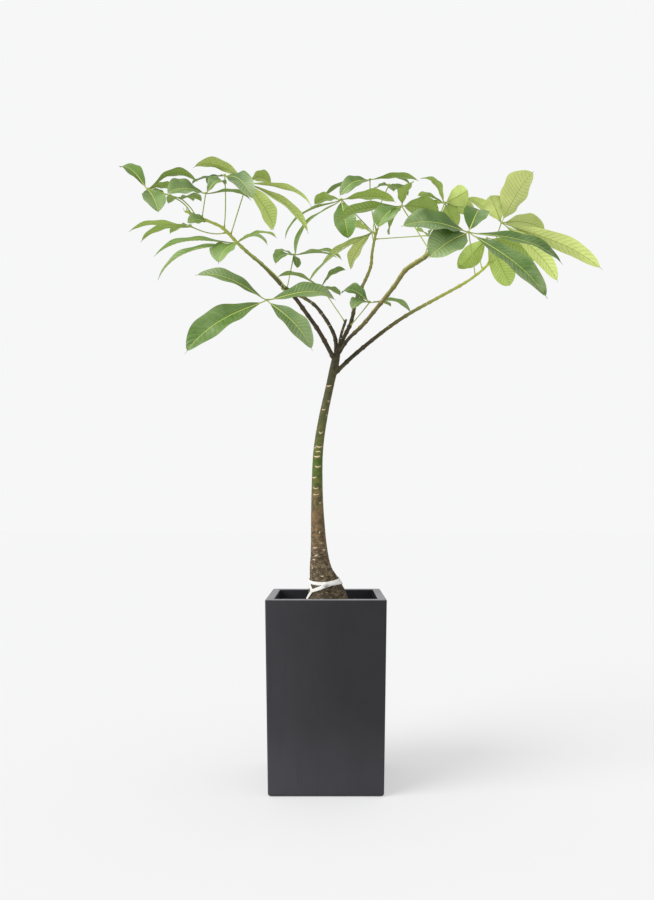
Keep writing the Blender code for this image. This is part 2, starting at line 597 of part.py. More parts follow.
def leaflet_object(name, hub, up, leaflet):
    """A leaflet: an arched blade folded a little along its midrib."""
    reach, side, over = leaflet_frame(up, leaflet)
    width, arch = (value * CENTIMETRE for value in leaflet[3:5])
    stations = SHORT_BLADE_STATIONS if reach.length < SHORT_BLADE else BLADE_STATIONS
    shares = [0.0] + [STALK_SHARE + (1 - STALK_SHARE) * station for station in stations]
    middles = [hub + reach * share + over * arch * arch_rise(share) for share in shares]
    rings = []
    for index, share in enumerate(shares):
        along = (middles[min(index + 1, len(middles) - 1)] - middles[max(index - 1, 0)]).normalized()
        normal = side.cross(along).normalized()
        half = blade_half_width(share, width)
        edge = side * half * math.cos(FOLD)
        lift = normal * half * math.sin(FOLD)
        top = [middles[index] - edge + lift, middles[index], middles[index] + edge + lift]
        rings.append(top + [point - normal * BLADE_THICKNESS for point in reversed(top)])
    points, faces = skin(rings)
    return add_object(name, points, split_alike(faces, len(rings)))


def split_alike(faces, rows):
    """Splits a blade's lower face along the same lines as its upper one."""
    alike = []
    for row in range(rows - 1):
        lower = row * BLADE_RING
        upper = lower + BLADE_RING
        for side in range(BLADE_RING):
            ahead = (side + 1) % BLADE_RING
            corners = (lower + side, lower + ahead, upper + ahead, upper + side)
            if side in BLADE_RING_LOWER:
                alike += [(corners[0], corners[1], corners[3]), (corners[1], corners[2], corners[3])]
            else:
                alike += [(corners[0], corners[1], corners[2]), (corners[0], corners[2], corners[3])]
    return alike + faces[-2:]


def petiole_object(name, leaf, hub):
    """The leaf's stalk, from its cushion to the hub where the leaflets spread."""
    middle, outward, reach = leaf_root(leaf)
    start = middle + outward * (reach + FIT_GAP)
    bend = start + outward * (hub - start).length * PETIOLE_PULL
    foot = start + outward * PETIOLE_FOOT_LENGTH
    places = [start, foot]
    for step in range(1, PETIOLE_STEPS + 1):
        share = step / PETIOLE_STEPS
        places.append(foot * (1 - share) ** 2 + bend * 2 * share * (1 - share) + hub * share**2)
    radii = [PETIOLE_FOOT_RADIUS, PETIOLE_FOOT_RADIUS * PETIOLE_FOOT_TAPER] + [PETIOLE_RADIUS] * PETIOLE_STEPS
    return add_object(name, *skin(tube_rings(places, radii, PETIOLE_SIDES)))


def build_leaf(name, leaf, material):
    _, _, hub, up, leaflets = leaf
    hub = Vector(hub)
    petiole = petiole_object(name + "_stalk", leaf, hub)
    others = [ball_object(name + "_hub", hub, HUB_RADIUS)]
    for number, leaflet in enumerate(leaflets):
        others.append(leaflet_object(f"{name}_blade_{number}", hub, Vector(up), leaflet))
    return join_as_one(name, petiole, others, material)


def main():
    clear_scene()
    build_pot(finish("fibre_clay", (0.040, 0.040, 0.045), 0.75))
    build_soil(finish("soil", (0.035, 0.024, 0.016), 0.95))
    build_stem(finish("bark", (0.150, 0.120, 0.060), 0.60))
    build_tie(finish("tape", (0.800, 0.790, 0.760), 0.80))
    green = finish("leaf_green", (0.070, 0.190, 0.045), 0.40)
    for name, leaf in LEAVES.items():
        build_leaf(name, leaf, green)


main()
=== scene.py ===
"""A potted money tree: bark, leaves, soil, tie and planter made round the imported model, in metres, +Z up."""

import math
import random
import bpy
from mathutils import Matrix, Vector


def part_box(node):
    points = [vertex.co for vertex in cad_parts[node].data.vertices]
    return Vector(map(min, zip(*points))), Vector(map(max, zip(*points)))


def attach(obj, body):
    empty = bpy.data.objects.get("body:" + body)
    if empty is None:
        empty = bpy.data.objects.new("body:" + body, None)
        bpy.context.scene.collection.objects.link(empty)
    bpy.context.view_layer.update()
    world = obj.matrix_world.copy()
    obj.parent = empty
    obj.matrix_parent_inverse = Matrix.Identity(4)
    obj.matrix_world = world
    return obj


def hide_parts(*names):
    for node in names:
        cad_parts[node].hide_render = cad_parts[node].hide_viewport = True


bl_info = {
    "name": "Potted money tree",
    "version": (1, 0, 0),
    "blender": (4, 5, 0),
    "location": "3D View > Sidebar > Money tree",
    "description": "Makes a money tree in a tall square planter, with its soil, tie and leaves",
    "category": "Add Mesh",
}

import bmesh
import bpy
import numpy as np
from mathutils import Vector, noise
from mathutils.kdtree import KDTree

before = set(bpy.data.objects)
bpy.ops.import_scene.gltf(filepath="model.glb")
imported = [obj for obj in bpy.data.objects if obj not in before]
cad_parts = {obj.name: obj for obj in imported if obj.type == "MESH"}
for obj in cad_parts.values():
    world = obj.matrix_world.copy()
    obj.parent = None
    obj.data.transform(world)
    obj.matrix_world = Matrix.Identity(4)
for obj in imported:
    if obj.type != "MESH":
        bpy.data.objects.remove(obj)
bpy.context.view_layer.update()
BODY = "root"

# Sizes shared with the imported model
POT_WIDTH = 0.300
POT_FOOT_WIDTH = 0.287
POT_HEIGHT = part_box("pot")[1].z
POT_WALL = 0.021
POT_FLOOR = 0.018
FOOT_EDGE = 0.008
POT_CORNER = 0.005
INNER_CORNER = 0.003
DRAIN_RADIUS = 0.008
DRAIN_OFFSET = 0.070
SOIL_BELOW_RIM = 0.052
SOIL_SWELL = 0.006
STUMP_RADIUS = 0.060
STUMP_DEPTH = 0.050
FIT_GAP = 0.0003
# Steps round each of the planter's rounded edges, and sides of its drain holes
ROUNDING_STEPS = 6
DRILL_SIDES = 32

# Stem: height, middle across, middle back, radius
STEM = (
    (0.435, 0.004, 0.000, 0.0600),
    (0.475, 0.002, 0.000, 0.0540),
    (0.500, 0.000, 0.000, 0.0470),
    (0.528, -0.006, 0.000, 0.0384),
    (0.558, -0.015, 0.000, 0.0290),
    (0.608, -0.019, 0.002, 0.0220),
    (0.695, -0.023, 0.006, 0.0174),
    (0.776, -0.024, 0.008, 0.0148),
    (0.866, -0.021, 0.008, 0.0132),
    (0.948, -0.009, 0.006, 0.0120),
    (1.037, 0.010, 0.003, 0.0110),
    (1.095, 0.023, 0.000, 0.0115),
    (1.125, 0.029, 0.002, 0.0090),
)
# Lobes of the stem's foot: how many, how bold as a share of the radius, and where round it they start
ROOT_LOBES = ((3, 0.055, 0.6), (5, 0.030, 2.0))
LOBES_START = 0.438
LOBES_FULL = 0.470
LOBES_END = 0.640
FRONT = math.radians(270)
STEM_RINGS = 170
STEM_RING_SIDES = 72
# Between these heights the foot's coarse bark grows fine
COARSE_BARK_ENDS = (0.50, 0.66)
# The bark's relief: how close its knobs and its grain are, and the share of its depth where it is fine
BARK_KNOB_SCALE = 85
BARK_GRAIN_SCALE = 260
FINE_BARK_SHARE = 0.25

# Branches: places along each, then the radius at its foot and at its tip
FORK = (0.025, 0.000, 1.098)
BRANCH_RING_SIDES = 16
BRANCHES = {
    "west": (
        (FORK, (-0.016, -0.030, 1.168), (-0.047, -0.060, 1.207), (-0.088, -0.090, 1.256),
         (-0.113, -0.100, 1.275), (-0.160, -0.110, 1.322), (-0.194, -0.120, 1.348),
         (-0.222, -0.130, 1.372), (-0.256, -0.140, 1.404), (-0.284, -0.145, 1.416),
         (-0.314, -0.150, 1.427), (-0.339, -0.155, 1.437)),
        0.0062, 0.0032),
    "inner": (
        ((0.027, 0.002, 1.112), (0.021, 0.030, 1.176), (-0.023, 0.060, 1.254),
         (-0.058, 0.075, 1.285), (-0.088, 0.085, 1.300), (-0.119, 0.095, 1.316)),
        0.0058, 0.0040),
    "stub": (
        ((0.030, 0.000, 1.116), (0.040, -0.012, 1.170), (0.051, -0.018, 1.202)),
        0.0046, 0.0034),
    "centre": (
        ((0.028, 0.002, 1.114), (0.044, 0.018, 1.160), (0.066, 0.040, 1.211),
         (0.083, 0.080, 1.287), (0.098, 0.100, 1.323), (0.116, 0.120, 1.365),
         (0.125, 0.130, 1.394), (0.128, 0.140, 1.428), (0.137, 0.150, 1.478), (0.143, 0.155, 1.500)),
        0.0058, 0.0036),
    "south": (
        ((0.027, 0.000, 1.110), (0.055, -0.025, 1.150), (0.095, -0.050, 1.185),
         (0.138, -0.080, 1.232), (0.172, -0.100, 1.271), (0.197, -0.115, 1.305),
         (0.217, -0.120, 1.319), (0.244, -0.130, 1.334), (0.262, -0.135, 1.350)),
        0.0047, 0.0060),
    "east": (
        ((0.017, 0.000, 1.062), (0.072, 0.020, 1.118), (0.157, 0.050, 1.192),
         (0.222, 0.070, 1.240), (0.305, 0.090, 1.290), (0.381, 0.100, 1.334),
         (0.424, 0.110, 1.366), (0.453, 0.115, 1.394)),
        0.0060, 0.0034),
}
# Knots: branch, share along it, radius
KNOTS = (("west", 0.41, 0.0078), ("south", 0.78, 0.0072), ("east", 0.80, 0.0058))
BALL_ROWS = 12
BALL_SIDES = 16
# How far each branch has turned to tan wood, from 0 to 1
WOODY = {"west": 0.0, "inner": 0.10, "stub": 0.0, "centre": 0.50, "south": 0.75, "east": 0.05}
# How late along each branch the bark turns green, from 1 for evenly, and how green it is at the tip
RIPENS = {"west": (1.9, 1.0), "inner": (2.0, 0.5), "stub": (1.0, 0.2), "centre": (1.5, 1.0),
          "south": (1.1, 1.0), "east": (1.35, 1.0)}
# Young shoots at a branch's tip: how many, the longest one's length
SHOOTS = {"west": (3, 0.016), "inner": (3, 0.012), "centre": (3, 0.014), "south": (3, 0.014),
          "east": (4, 0.034)}
SHOOT_RADIUS = 0.0012
SHOOT_POINT_RADIUS = 0.00015
SHOOT_STEPS = 8
# A branch's direction at its tip is read a little before its end, between two points this far to either side
NEAR_TIP = 0.99
PROBE = 0.002
# Swellings at a branch's old leaf joints: how far the first is from its foot and the last at least from its
# tip, how bold they are, how far apart and how long
FIRST_JOINT = 0.02
LAST_JOINT = 0.006
JOINT_SWELL = (0.14, 0.34)
JOINT_GAP = (0.016, 0.034)
JOINT_LENGTH = 0.0030
# Metres from one station of a branch to the next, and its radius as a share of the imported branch's
BRANCH_STATION = 0.003
BARK_SHARE = 1.04
# How a branch's tip is rounded off: how far past its end in tip radii, and the share of the radius there
TIP_ROUNDING = ((0.5, 1.0), (1.0, 0.85), (1.5, 0.60), (1.9, 0.25))

# Leaves
PETIOLE_FOOT_RADIUS = 0.0024
PETIOLE_FOOT_LENGTH = 0.004
PETIOLE_RADIUS = 0.0014
PETIOLE_PULL = 0.45
CUSHION_RADIUS = 0.0027
CUSHION_RISE = 0.0010
# A cushion's radii at its foot, shoulder and top, as shares, and how far its shoulder is below its top
CUSHION_SHARES = (1.3, 1.1, 0.8)
CUSHION_SHOULDER = 0.0012
CUSHION_SIDES = 12
LEAST_ROOT_ANGLE = math.radians(60)
# A leaflet: its stalk's share of it, where along its blade it is widest, and the powers that shape its
# outline and its arch
STALK_SHARE = 0.07
WIDEST_AT = 0.60
SHOULDER = 1.05
ARCH_SKEW = 1.5
CENTIMETRE = 0.01
PETIOLE_SINK = 0.0006
PETIOLE_STATIONS = 22
# The swelling at a leaf's hub, where its leaflets meet: how far past the hub, and the radius there
HUB_SWELLING = ((-0.0035, 0.0018), (-0.0022, 0.0027), (0.0, 0.0033), (0.0018, 0.0027), (0.0028, 0.0014))

# Each leaf: its branch, how far along it as a share, its hub in metres, the way its upper face looks, how
# pale it is, which on its under faces is partly painted light shining through it, and its leaflets.
# A leaflet: its tip's reach from the hub across, up and towards the viewer, its width and its arch, all in
# centimetres, and the degrees by which its upper face is turned to the viewer, or away if negative.
LEAVES = {
    "leaf_west_1": ("west", 0.985, (-0.430, -0.190, 1.480), (-0.2, 0.1, 0.97), 0.45, (
        (-8.0, 7.5, -5.5, 4.6, 1.5, 25), (11.5, 3.5, -4.5, 3.8, 2.8, 0), (6.0, 1.5, -5.0, 3.2, 1.0, 0),
        (4.5, -9.0, 8.5, 5.5, 1.0, 0), (3.0, -0.5, -5.5, 3.0, 0.5, 0))),
    "leaf_west_2": ("west", 0.965, (-0.360, -0.130, 1.480), (0.0, 0.0, 1.0), 0.35, (
        (-4.5, 1.0, -6.5, 3.0, 1.0, 0), (2.0, 2.0, -7.5, 3.0, 1.0, 0), (4.5, 1.0, -5.0, 3.0, 1.0, 0))),
    "leaf_west_3": ("west", 0.93, (-0.295, -0.150, 1.485), (0.0, -0.3, 0.95), 0.30, (
        (-8.5, -2.6, 6.0, 6.4, 1.4, 35), (4.5, 3.0, -3.0, 4.5, 2.0, 20), (11.0, -1.0, -2.0, 2.6, 1.4, -10))),
    "leaf_west_4": ("west", 0.90, (-0.285, -0.175, 1.408), (0.0, -0.6, 0.8), 0.45, (
        (-4.8, -1.2, 2.0, 4.2, 0.6, 20),)),
    "leaf_west_5": ("west", 0.80, (-0.330, -0.160, 1.400), (0.0, 0.1, 1.0), 0.60, (
        (-14.0, -3.0, 5.0, 3.0, 1.4, 0), (-12.5, -3.5, -1.0, 3.0, 1.6, 0), (-6.0, -0.5, -4.0, 2.6, 0.8, 0),
        (-3.0, 1.5, -5.5, 2.2, 0.6, 0))),
    "leaf_west_6": ("west", 0.82, (-0.255, -0.100, 1.550), (0.0, -0.5, 0.85), 0.0, (
        (8.5, -10.5, 10.5, 5.2, 2.6, 15), (-9.5, 0.5, -7.0, 3.0, 0.6, 0), (-5.5, 1.0, -9.5, 3.2, 1.0, 0))),
    "leaf_west_7": ("west", 0.78, (-0.200, -0.080, 1.541), (0.1, 0.25, 0.95), 0.75, (
        (-13.0, 1.5, 5.0, 4.0, 2.5, -5), (6.0, 1.0, -4.0, 4.2, 2.0, -10), (16.5, -8.0, 4.5, 2.8, 2.4, 0),
        (7.0, -14.0, 5.0, 5.4, 1.4, -50), (15.5, -12.0, -4.0, 3.2, 2.6, 0))),
    "leaf_west_8": ("west", 0.437, (-0.215, -0.210, 1.345), (-0.1, -0.35, 0.95), 0.60, (
        (-3.5, -6.5, 4.5, 6.8, 1.2, 10), (-18.5, -5.0, 5.0, 4.6, 2.2, 10), (-19.0, -8.5, -2.0, 4.4, 2.8, 10),
        (9.5, 3.0, -6.0, 3.2, 1.6, 0), (8.0, -2.0, 4.0, 3.0, 1.8, 0))),
    "leaf_west_9": ("west", 0.383, (-0.140, -0.220, 1.205), (-0.1, -0.75, 0.65), 0.15, (
        (-18.0, -14.5, 8.5, 7.6, 2.4, 10), (-16.5, 5.0, 3.0, 4.6, 2.2, 0), (11.0, -13.0, 4.5, 5.8, 2.2, -5),
        (16.5, 1.0, -4.5, 5.5, 3.0, 10))),
    "leaf_inner_1": ("inner", 0.96, (-0.090, 0.120, 1.419), (0.0, -0.1, 1.0), 0.40, (
        (-5.0, -4.0, 4.0, 4.8, 1.5, 20), (-6.0, 1.5, -4.5, 2.5, 1.0, 0), (13.5, 0.5, -7.0, 4.0, 2.0, 10),
        (1.0, -4.5, 2.0, 2.5, 0.5, 0), (12.0, -2.0, 3.5, 3.2, 1.0, 0))),
    "leaf_stub_1": ("stub", 0.96, (-0.015, 0.055, 1.313), (0.0, 0.1, 1.0), 0.25, (
        (-12.0, 3.0, -2.0, 3.5, 1.5, 0), (7.0, 5.0, -2.0, 3.5, 1.2, -15), (-5.0, -4.0, 4.0, 3.0, 1.0, 0),
        (5.5, -1.0, -6.0, 2.6, 0.6, 0))),
    "leaf_centre_1": ("centre", 0.22, (0.115, -0.005, 1.255), (0.0, -0.2, 1.0), 0.20, (
        (-7.5, 3.0, -3.0, 5.2, 2.0, 30), (-5.0, -3.0, 4.0, 5.0, 1.2, 20), (10.5, -4.0, 4.0, 3.2, 2.0, 15),
        (6.0, 0.0, -5.0, 2.5, 0.6, 0))),
    "leaf_centre_2": ("centre", 0.90, (0.125, 0.100, 1.475), (-0.1, 0.1, 1.0), 0.85, (
        (-14.0, -8.0, -4.5, 3.4, 1.2, 0), (-17.5, -17.0, 9.0, 3.8, 1.5, 10),
        (-6.0, -11.5, 3.5, 5.0, 1.2, -45), (-6.0, 2.5, -3.5, 4.0, 1.0, -20))),
    "leaf_centre_3": ("centre", 0.93, (0.280, 0.100, 1.465), (0.0, 0.2, 1.0), 0.50, (
        (4.0, 5.0, -5.0, 3.5, 0.5, -20), (7.5, 1.5, -6.5, 3.5, 0.5, -20), (-2.5, 3.5, -6.5, 3.0, 0.5, -20))),
    "leaf_centre_4": ("centre", 0.96, (0.040, 0.060, 1.550), (-0.2, -0.1, 1.0), 0.60, (
        (-7.5, 0.5, -5.5, 4.5, 1.2, -20), (-15.0, -12.5, 5.0, 3.2, 2.6, 0), (-12.0, -18.5, 8.0, 3.2, 3.2, 0),
        (2.0, -12.0, 3.0, 6.2, 1.2, 0), (15.0, -0.5, -1.0, 5.0, 1.4, -20))),
    "leaf_centre_5": ("centre", 0.985, (0.120, 0.100, 1.620), (0.0, 0.0, 1.0), 0.35, (
        (-8.5, -6.0, 3.0, 4.4, 2.4, 60), (-6.5, -2.0, -5.5, 2.2, 0.8, 0), (-13.0, -3.0, -6.0, 2.6, 1.6, 0),
        (13.0, -2.5, 5.0, 3.0, 1.2, -10), (12.0, 0.0, -4.5, 2.4, 1.6, 0))),
    "leaf_centre_6": ("centre", 0.975, (0.180, 0.200, 1.645), (0.0, 0.1, 1.0), 0.30, (
        (-4.5, -3.5, 3.5, 3.0, 0.8, 0), (6.0, -1.5, -4.5, 3.2, 0.8, 0), (2.0, 1.0, -8.0, 3.5, 0.8, 0))),
    "leaf_south_1": ("south", 0.985, (0.195, -0.040, 1.495), (0.0, 0.1, 1.0), 0.50, (
        (2.5, 3.6, 6.5, 5.4, 0.8, 30), (-17.5, -6.5, 3.5, 4.4, 2.4, -15), (-6.5, -8.0, 6.0, 6.5, 1.5, 35),
        (-3.5, -9.5, 6.0, 5.0, 0.8, -60), (10.5, -0.5, -4.0, 6.0, 1.2, -35))),
    "leaf_south_2": ("south", 0.93, (0.310, -0.020, 1.510), (0.0, 0.3, 1.0), 0.70, (
        (-7.0, 4.5, 4.5, 4.4, 1.8, 35), (-6.5, 4.5, -7.0, 3.2, 0.6, 0), (5.5, 2.0, 3.5, 5.5, 0.3, -60),
        (4.0, -5.0, -5.0, 5.0, 1.0, -20), (9.0, -1.0, -5.0, 4.5, 1.0, -25), (-6.0, 1.0, -5.0, 3.0, 0.5, 0))),
    "leaf_east_1": ("east", 0.90, (0.345, -0.180, 1.380), (0.0, -0.8, 0.6), 0.15, (
        (-17.0, -1.0, 6.5, 7.2, 2.0, 10), (-10.5, -8.5, 6.5, 8.6, 1.5, 10), (3.5, 7.0, -4.5, 6.4, 1.2, 0),
        (24.0, -6.8, -4.0, 5.0, 2.5, -5), (17.5, -18.0, 6.5, 6.4, 2.0, 0))),
    "leaf_east_2": ("east", 0.95, (0.450, 0.140, 1.472), (0.0, 0.3, 0.95), 0.60, (
        (-7.0, -7.5, -2.0, 6.2, 1.0, -60), (-7.5, -7.0, -6.0, 5.4, 1.0, -50),
        (6.5, -14.0, 1.0, 6.5, 1.5, -40), (19.0, -6.0, -3.0, 5.5, 2.0, -30),
        (20.0, -4.0, -8.0, 4.5, 1.6, -20))),
    "leaf_east_3": ("east", 0.985, (0.466, 0.020, 1.473), (0.0, 0.6, 0.8), 0.90, (
        (-9.0, 8.0, -4.0, 3.2, 1.5, 0), (-3.5, 6.5, 2.0, 5.4, 0.8, 0), (8.0, 12.5, 3.0, 10.0, 1.0, 10),
        (14.0, 0.5, -8.0, 5.2, 1.8, 0), (26.0, -13.5, 3.0, 5.0, 3.2, 0), (14.5, -16.5, 2.0, 4.6, 2.5, 0))),
}

# Tie
TAPE_WIDTH = 0.0090
TAPE_THICKNESS = 0.0012
TAPE_CLEARANCE = 0.0006
# The upper turn: its height, how far it dips in front, how far it rises to the right. The lower turn and the
# loose end: turns in degrees, and the height at each. The lifts are in thicknesses of the tape.
UPPER_TURN = (0.5250, 0.0080, 0.0020)
LOWER_TURN = ((222, 0.4975), (245, 0.5035), (270, 0.5110), (300, 0.5165), (340, 0.5185),
              (400, 0.5200), (450, 0.5220), (500, 0.5230), (530, 0.5235))
LOOSE_END = ((186, 0.5235), (198, 0.5180), (212, 0.5080), (220, 0.4985), (215, 0.4890),
             (207, 0.4800), (203, 0.4720))
LOWER_TURN_LIFT = 0.4
LOOSE_END_LIFT = 0.8
# Degrees from one ring of the tape to the next, and points across it
TAPE_STEP = 2.5
TAPE_COLUMNS = 9
KNOT_HEIGHT = 0.5140
KNOT_SIZE = (0.013, 0.006, 0.011)
# How much the tape's width changes, how much thinner its edges are, and the height of its ripples
TAPE_PINCH = 0.10
EDGE_THINNING = 0.75
TAPE_RIPPLE = 0.00025
# How deep the knot's folds and lumps are, as shares of its size
KNOT_FOLDS = 0.16
KNOT_LUMPS = 0.10
# Metres from one thread of the tape to the next, across it and along it
WARP_THREAD = 0.00075
WEFT_THREAD = 0.00060

# Pale scars where leaves once stood, placed as the photograph shows them on the stem's front: height, turn
# and half the spread in degrees (270 is the front), how far the middle sags, the rise from left to right,
# and how bold
SCARS_SEEN = (
    (1.0355, 248, 48, 0.0010, 0.0000, 0.9), (0.9957, 301, 20, 0.0005, 0.0000, 0.6),
    (0.9735, 257, 26, 0.0010, 0.0000, 0.8), (0.9590, 319, 12, 0.0000, 0.0000, 0.7),
    (0.9150, 275, 26, 0.0040, 0.0000, 1.0), (0.8775, 276, 45, 0.0030, -0.0010, 1.1),
    (0.8730, 225, 12, 0.0000, 0.0000, 0.8), (0.8610, 273, 34, -0.0020, 0.0000, 0.8),
    (0.8510, 259, 43, 0.0020, 0.0000, 1.4), (0.8250, 275, 38, 0.0028, 0.0000, 1.0),
    (0.7950, 236, 30, 0.0010, 0.0000, 1.1), (0.7676, 254, 33, 0.0020, -0.0015, 0.8),
    (0.7498, 260, 37, 0.0005, 0.0010, 0.6), (0.7277, 299, 15, 0.0005, 0.0005, 0.5),
    (0.6500, 282, 6, 0.0000, 0.0050, 0.8), (0.6225, 290, 6, 0.0000, 0.0000, 0.7),
    (0.6100, 241, 18, 0.0005, 0.0005, 0.8), (0.6036, 306, 10, 0.0000, 0.0030, 0.7),
    (0.5900, 251, 13, 0.0000, 0.0040, 0.9), (0.5796, 234, 11, 0.0000, 0.0010, 0.8),
    (0.5574, 224, 5, 0.0000, 0.0000, 1.2), (0.5366, 268, 7, 0.0000, 0.0000, 0.9),
)
# The stem's back isn't in the photograph: these are guesses that carry the same spacing round it
SCARS_BEHIND = (
    (1.0150, 90, 40, 0.0020, 0.0, 0.8), (0.9450, 110, 38, 0.0020, 0.0, 0.9),
    (0.8960, 70, 42, 0.0025, 0.0, 1.0), (0.8420, 100, 40, 0.0020, 0.0, 1.0),
    (0.7830, 60, 36, 0.0020, 0.0, 0.9), (0.7100, 120, 22, 0.0010, 0.0, 0.7),
)
# How far every scar sags besides, how far from it its tan surround is looked for, and how wide that is
SCAR_SAG = 0.0012
SCAR_REACH = 0.012
SCAR_HALO = 0.0034
SCAR_SINK = 0.0006
SCAR_STEPS = 14
# Small scars along the branches: the share of the branch where the first is, how far the last is at least
# from its tip, how far apart they are, and half their thickness
FIRST_BRANCH_SCAR = 0.35
LAST_BRANCH_SCAR = 0.008
BRANCH_SCAR_GAP = (0.012, 0.030)
BRANCH_SCAR_RADIUS = 0.0005
BRANCH_SCAR_STEPS = 10

# Soil: points to a corner of its rings, rings from the wall to the stem, how far its top lies below the
# packed soil's, and how far it reaches into the stem
SOIL_STEPS = 24
SOIL_STATIONS = 22
SOIL_SINK = 0.001
STUMP_LAP = 0.0015
LUMP_SCALE = 38
CRUMB_SIZES = (0.0010, 0.0050)
GRAIN_SIZES = (0.0012, 0.0026)
GRAINS_TO_A_CRUMB = 0.05
# How close and how deep the dents in a crumb are
DENT_SCALE = 420.0
DENT_DEPTH = 0.0022

# Up the trunk: where the run of colours starts and how long it is, then where each kind of mark begins and
# ends, as the height where it isn't there and the height where it is there in full
BARK_START = 0.43
BARK_LENGTH = 0.70
TAN_BEGINS = (0.58, 0.66)
TAN_ENDS = (0.80, 0.76)
UPPER_TAN_BEGINS = (0.84, 0.88)
UPPER_TAN_ENDS = (1.05, 0.98)
GREEN_BEGINS = (0.69, 0.715)
GREEN_ENDS = (0.79, 0.765)
CRACKS_END = (0.80, 0.70)
FOOT_ENDS = (0.70, 0.60)

# Painted light makes the planter's clay paler from one side to the other, and dust with a painted reflection
# of the floor makes it paler from this height down to its foot. Painted shade darkens its lowest edge, and
# wear with a painted highlight makes its rim pale, each from the first height to the second.
PAINTED_SIDE_LIGHT = (0.11, -0.17)
FOOT_DUST_AND_PAINTED_REFLECTION = (0.24, 0.0)
PAINTED_FOOT_SHADE = (0.012, 0.0)
RIM_WEAR_AND_HIGHLIGHT = (POT_HEIGHT - 0.0022, POT_HEIGHT - 0.0004)

# Moves the painted sheen on the leaves, so that it falls on the west leaf's outer end as in the photograph
PAINTED_SHEEN_SHIFT = (2.10, 0.30, 1.20)

# The viewpoint found from the photograph. What is in pixels is in those of a picture 900 pixels high.
CAMERA_PLACE = (0.01, -2.18, 0.70)
SENSOR = 36
PICTURE_HEIGHT_PIXELS = 900
FOCAL_LENGTH_PIXELS = 827
SHIFT_ACROSS_PIXELS = -3
SHIFT_UP_PIXELS = 63
LIGHT_FROM = (-1.0, -0.60, 0.75)
FLOOR_HALF = 30


# Node trees

def socket_of(sockets, key):
    """A node's socket by number, or the one in use by name."""
    if isinstance(key, int):
        return sockets[key]
    return next(socket for socket in sockets if socket.enabled and socket.name == key)


def put(tree, kind, inputs=None, **settings):
    """Adds a node with its settings. Each input is given a plain value or a Flow."""
    node = tree.nodes.new(kind)
    for name, value in settings.items():
        setattr(node, name, value)
    for key, value in (inputs or {}).items():
        socket = socket_of(node.inputs, key)
        if isinstance(value, Flow):
            tree.links.new(value.socket, socket)
        else:
            socket.default_value = value
    return node


def flow_from(tree, kind, inputs=None, output=0, **settings):
    """Adds a node and gives what comes out of it, by number or by name."""
    return Flow(tree, socket_of(put(tree, kind, inputs, **settings).outputs, output))


class Flow:
    """A value on its way through a node tree, which sums can be written with."""

    def __init__(self, tree, socket):
        self.tree = tree
        self.socket = socket

    @property
    def is_vector(self):
        return self.socket.type == "VECTOR"

    def work(self, operation, *others):
        """The result of a sum on this value and the others."""
        values = (self, *others)
        vector = any(isinstance(value, tuple) or (isinstance(value, Flow) and value.is_vector)
                     for value in values)
        node = self.tree.nodes.new("ShaderNodeVectorMath" if vector else "ShaderNodeMath")
        node.operation = operation
        for number, value in enumerate(values):
            if isinstance(value, Flow):
                self.tree.links.new(value.socket, node.inputs[number])
            elif vector and not isinstance(value, tuple):
                node.inputs[number].default_value = (value, value, value)
            else:
                node.inputs[number].default_value = value
        return Flow(self.tree, next(socket for socket in node.outputs if socket.enabled))

    def __add__(self, other):
        return self.work("ADD", other)

    def __sub__(self, other):
        return self.work("SUBTRACT", other)

    def __mul__(self, other):
        return self.work("MULTIPLY", other)

    def __truediv__(self, other):
        return self.work("DIVIDE", other)

    def __pow__(self, other):
        return self.work("POWER", other)

    def rest(self):
        """One less this value."""
        return self * -1.0 + 1.0

    def size(self):
        return self.work("ABSOLUTE")

    def cross(self, other):
        return self.work("CROSS_PRODUCT", other)

    def unit(self):
        return self.work("NORMALIZE")

    def eased(self, none, full):
        """0 at none and before it, 1 at full and past it, eased between. Either may be the larger."""
        return flow_from(self.tree, "ShaderNodeMapRange", {
            "Value": self, "From Min": none, "From Max": full}, "Result", interpolation_type="SMOOTHSTEP")

    def parts(self):
        node = put(self.tree, "ShaderNodeSeparateXYZ", {0: self})
        return [Flow(self.tree, socket) for socket in node.outputs]

    def to(self, node, label):
        """Joins this value to a node's input."""
        self.tree.links.new(self.socket, node.inputs[label])


def vector_of(tree, *values):
    return flow_from(tree, "ShaderNodeCombineXYZ", dict(enumerate(values)))


SOCKETS = {"geometry": "NodeSocketGeometry", "number": "NodeSocketFloat", "count": "NodeSocketInt",
           "material": "NodeSocketMaterial", "vector": "NodeSocketVector"}


def shared(name, build):
    """The node group of this name, built the first time that it is asked for."""
    return bpy.data.node_groups.get(name) or build()


def new_group(name, kind, inputs, outputs):
    """An empty node group with named inputs and outputs: label, kind of value, what it starts at."""
    tree = bpy.data.node_groups.new(name, kind)
    for direction, sockets in (("INPUT", inputs), ("OUTPUT", outputs)):
        for label, value_kind, start in sockets:
            socket = tree.interface.new_socket(label, in_out=direction, socket_type=SOCKETS[value_kind])
            if start is not None:
                socket.default_value = start
    source = tree.nodes.new("NodeGroupInput")
    given = {socket.name: Flow(tree, socket) for socket in source.outputs if socket.name}
    return tree, given


def close_group(tree, results):
    """Joins the results to the group's outputs."""
    sink = tree.nodes.new("NodeGroupOutput")
    for label, value in results.items():
        value.to(sink, label)


def attribute(tree, name, kind="FLOAT"):
    node = put(tree, "GeometryNodeInputNamedAttribute", data_type=kind)
    node.inputs["Name"].default_value = name
    return Flow(tree, next(socket for socket in node.outputs if socket.enabled))


def pass_through(tree, kind, geometry, inputs=None, **settings):
    """Adds a node that takes geometry first and gives it back changed."""
    return flow_from(tree, kind, {0: geometry, **(inputs or {})}, **settings)


def store(tree, geometry, name, value, kind="FLOAT", domain="POINT"):
    node = put(tree, "GeometryNodeStoreNamedAttribute", {"Geometry": geometry, "Value": value},
               data_type=kind, domain=domain)
    node.inputs["Name"].default_value = name
    return Flow(tree, node.outputs[0])


